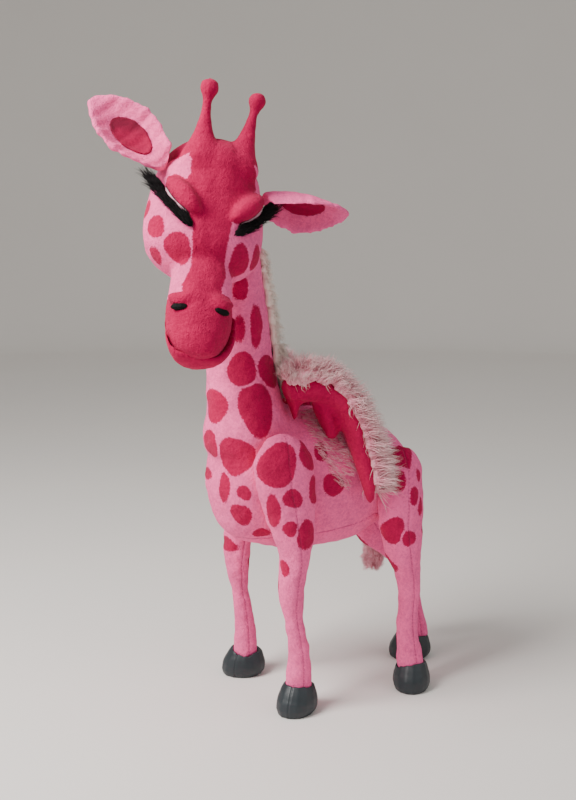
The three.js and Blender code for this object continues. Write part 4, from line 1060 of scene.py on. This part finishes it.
mane_pad, mane_fur = furred(
    "mane", "mane_pile_strands", 5 * MM, 8800, 81, [0, 0.35, -0.9], 0.6, 0.32 * MM, 0.5)
tuft_pad, tuft_fur = furred(
    "tail_tuft", "tail_tuft_strands", 4 * MM, 3400, 91, [0, 0, -1], 0.35, 0.34 * MM, 0.6)
print("mane:", len(mane_fur.data.polygons), "faces, tuft:", len(tuft_fur.data.polygons))

# %% [markdown]
# Loose strands also lie on the flanks, behind the wings, inside an outline in the picture.
# The other flank gets the mirrored points.

# %% Fur on the flanks
FLANK_OUTLINE = [
    (298, 412), (310, 408), (334, 425), (354, 462), (346, 490), (334, 480), (320, 458), (308, 436),
]


def on_near_flank(points, normals):
    """True for points of the left flank that lie in the outline. A point's picture place is its slope
    right and up from the look direction, times the focal length in pixels. It is inside where a ray
    to the right crosses the outline's sides an odd number of times."""
    offset = points - CAMERA_AT
    deep = offset @ LOOK
    x = PICTURE[0] / 2 + offset @ RIGHT / deep * PIXELS_PER_SLOPE
    y = PICTURE[1] / 2 - offset @ ABOVE / deep * PIXELS_PER_SLOPE
    inside = np.zeros(len(points), bool)
    for (x0, y0), (x1, y1) in zip(FLANK_OUTLINE, FLANK_OUTLINE[1:] + FLANK_OUTLINE[:1]):
        spans = (y0 > y) != (y1 > y)
        inside ^= spans & (x < x0 + (y - y0) * (x1 - x0) / (y1 - y0))
    return (normals[:, 0] > 0.1) & inside


FLANK_STRANDS, FLANK_TRIES = 700, 60000
FLANK_LENGTH, FLANK_WIDTH = 7 * MM, 0.2 * MM
near_roots, near_normals = scattered(*arrays_of(body_skin), FLANK_TRIES, 95, on_near_flank)
near_roots, near_normals = near_roots[:FLANK_STRANDS], near_normals[:FLANK_STRANDS]
flank_fur = {}
for side, sign in SIGNS.items():
    flip = np.array([sign, 1, 1])
    roots = near_roots * flip + [MIDDLE_X * (1 - sign), 0, 0]
    normals = near_normals * flip
    comb = np.array([0.1, 0.75, -0.6]) * flip
    flank_fur[side] = strands(
        f"flank_fur_{side}", roots, unit(normals + comb), unit(normals * 0.15 + comb), FLANK_LENGTH,
        FLANK_WIDTH, 97 + sign, lock=0.35)
print("strands on a flank:", len(near_roots))

# %% [markdown]
# ## Lashes
# Each closed eye has a strip of stiff black lashes, combed towards its outer end, where they
# come loose and lift off.

# %% Lashes
LASH_COUNT, LASH_WIDTH = 620, 0.24 * MM
lashes, strips = {}, {}
for side, sign in SIGNS.items():
    strip, faces = arrays_of(cad[f"lashes_{side}"])
    lid, _ = arrays_of(cad[f"eyelid_{side}"])
    middle, lid_middle = strip.mean(0), lid.mean(0)
    _, _, axes = np.linalg.svd(strip - middle, full_matrices=False)
    outer_way = axes[0] if (middle - from_head([0, -124, 0])) @ axes[0] > 0 else -axes[0]
    outwards = unit(middle - HEAD_MIDDLE)
    down = middle - lid_middle
    down = unit(down - (down @ outer_way) * outer_way)
    rng = np.random.default_rng(101 + sign)
    roots, normals = scattered(strip, faces, LASH_COUNT, 105 + sign, lambda p, n: n @ outwards > -0.2)
    reach = np.abs((strip - middle) @ outer_way).max()
    loose = smooth_step(0.1, 0.9, (roots - middle) @ outer_way / reach)[:, None]
    start = unit(outer_way + 0.5 * normals + 0.2 * down)
    fan = rng.uniform(-0.9, 0.35, (len(roots), 1))
    end = unit(outer_way + 0.25 * outwards + (0.1 + loose * fan) * down)
    length = (7 + 6 * loose) * MM
    lashes[side] = strands(f"lashes_{side}_fibres", roots, start, end, length, LASH_WIDTH,
                           103 + sign, stray=0.14, curl=0.02)
    strips[side] = stuffed(f"lashes_{side}_strip", [f"lashes_{side}"], 0.7 * MM, 0, rounds=3, levels=0)
    count = len(strips[side].data.vertices)
    stored(strips[side], "along", np.zeros(count))
    stored(strips[side], "tone", np.full(count, 0.3))
    print(side, "lashes:", len(roots), "on a strip", round(2 * reach / MM), "mm long")

# %% [markdown]
# ## Put together
# Each piece gets its material and, apart from the body's skin, rides on its CAD body.

# %% Materials and bodies
painted(body_skin, pink_plush)
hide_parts("torso", "neck")
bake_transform(body_skin)


def joined_to(obj, body, material, replaced=()):
    """Paints a piece, lets it ride on a body, and hides the CAD nodes that it stands for."""
    painted(obj, material)
    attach(obj, body)
    if replaced:
        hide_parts(*replaced)


joined_to(head_skin, "head", head_plush, HEAD_NODES)
joined_to(lip_skin, "head", crimson_plush, ["lower_lip"])
joined_to(tail_skin, "tail", plain_pink, ["tail"])
joined_to(tuft_pad, "tail", tuft_pile, ["tail_tuft"])
joined_to(tuft_fur, "tail", tuft_pile)
joined_to(mane_pad, "neck", mane_pile, ["mane"])
joined_to(mane_fur, "neck", mane_pile)
for leg, skin in leg_skins.items():
    joined_to(skin, leg, pink_plush, [leg])
for hoof, cover in hooves.items():
    joined_to(cover, hoof.replace("hoof", "leg"), hoof_cover, [hoof])
for side in SIGNS:
    joined_to(ear_skins[side], f"ear_{side}", plain_pink, [f"ear_{side}"])
    joined_to(linings[side], f"ear_{side}", shaded_plush, [f"ear_lining_{side}"])
    joined_to(lower_lids[side], "head", pale_plush, [f"lower_lid_{side}"])
    joined_to(lashes[side], "head", lash_fibre)
    joined_to(strips[side], "head", lash_fibre, [f"lashes_{side}"])
    joined_to(wing_cores[side], f"wing_{side}", crimson_plush, [f"wing_{side}"])
    joined_to(fur_pads[side], f"wing_{side}", wing_pile, [f"wing_fur_{side}"])
    joined_to(wing_fur[side], f"wing_{side}", wing_pile)
    joined_to(flank_fur[side], "torso", flank_pile)
for name, node in cad.items():
    if name.endswith("_wire"):
        painted(node, steel)
    if name in ("nostril_left", "nostril_right"):
        painted(node, lash_fibre)
print("steel wires:", sum(name.endswith("_wire") for name in cad))

# %% [markdown]
# ## Floor and light
# A plain pale floor that rises far out all round, so that it is the background from every
# side, and two soft lights, the stronger one from the upper left front.

# %% Floor
FLOOR_FLAT, FLOOR_REACH, FLOOR_RISE, FLOOR_LINES = 2.6, 4.0, 2.2, 81
UNDER_SOLES = 0.2 * MM
line = np.linspace(-FLOOR_REACH, FLOOR_REACH, FLOOR_LINES)
grid_x, grid_y = np.meshgrid(line, line)
grid_z = FLOOR_RISE * smooth_step(FLOOR_FLAT, FLOOR_REACH, np.hypot(grid_x, grid_y)) - UNDER_SOLES
index = np.arange(line.size**2).reshape(line.size, line.size)
quads = np.stack([index[:-1, :-1], index[:-1, 1:], index[1:, 1:], index[1:, :-1]], -1).reshape(-1, 4)
floor = piece("floor", np.stack([grid_x, grid_y, grid_z], -1).reshape(-1, 3), quads)
pale_floor, floor_shader, add, join = new_material("pale_floor")
tint = noise(add, add("TexCoord").outputs["Object"], 3.0, 2.0)
pale = mixed(add, tint, linear(227, 223, 219), linear(232, 228, 224))
join(pale, floor_shader.inputs["Base Color"])
finished(floor_shader, Roughness=0.9)
painted(floor, pale_floor)
print("floor:", len(quads), "faces")


# %% Lights
def soft_light(name, at, towards, size, power, colour):
    """A square area light that faces a point."""
    data = bpy.data.lights.new(name, "AREA")
    data.size, data.energy, data.color = size, power, colour
    aimed(name, data, at, towards - at)


KEY_AT = -0.62 * RIGHT - 0.42 * LOOK + [0, 0, 0.85]
FILL_AT = 1.3 * RIGHT - 0.6 * LOOK + [0, 0, 0.8]
KEY_POWER, FILL_POWER, ROOM_STRENGTH = 21, 4, 0.52
soft_light("key", KEY_AT, [0, 0, 0.32], 0.5, KEY_POWER, (1.0, 0.97, 0.94))
soft_light("fill", FILL_AT, [0, 0, 0.25], 1.2, FILL_POWER, (0.95, 0.97, 1.0))
room = bpy.data.worlds.new("room")
bpy.context.scene.world = room
room.use_nodes = True
background = room.node_tree.nodes["Background"]
finished(background, Color=(0.95, 0.93, 0.9, 1), Strength=ROOM_STRENGTH)
print("lights:", KEY_POWER, "and", FILL_POWER, "watts")
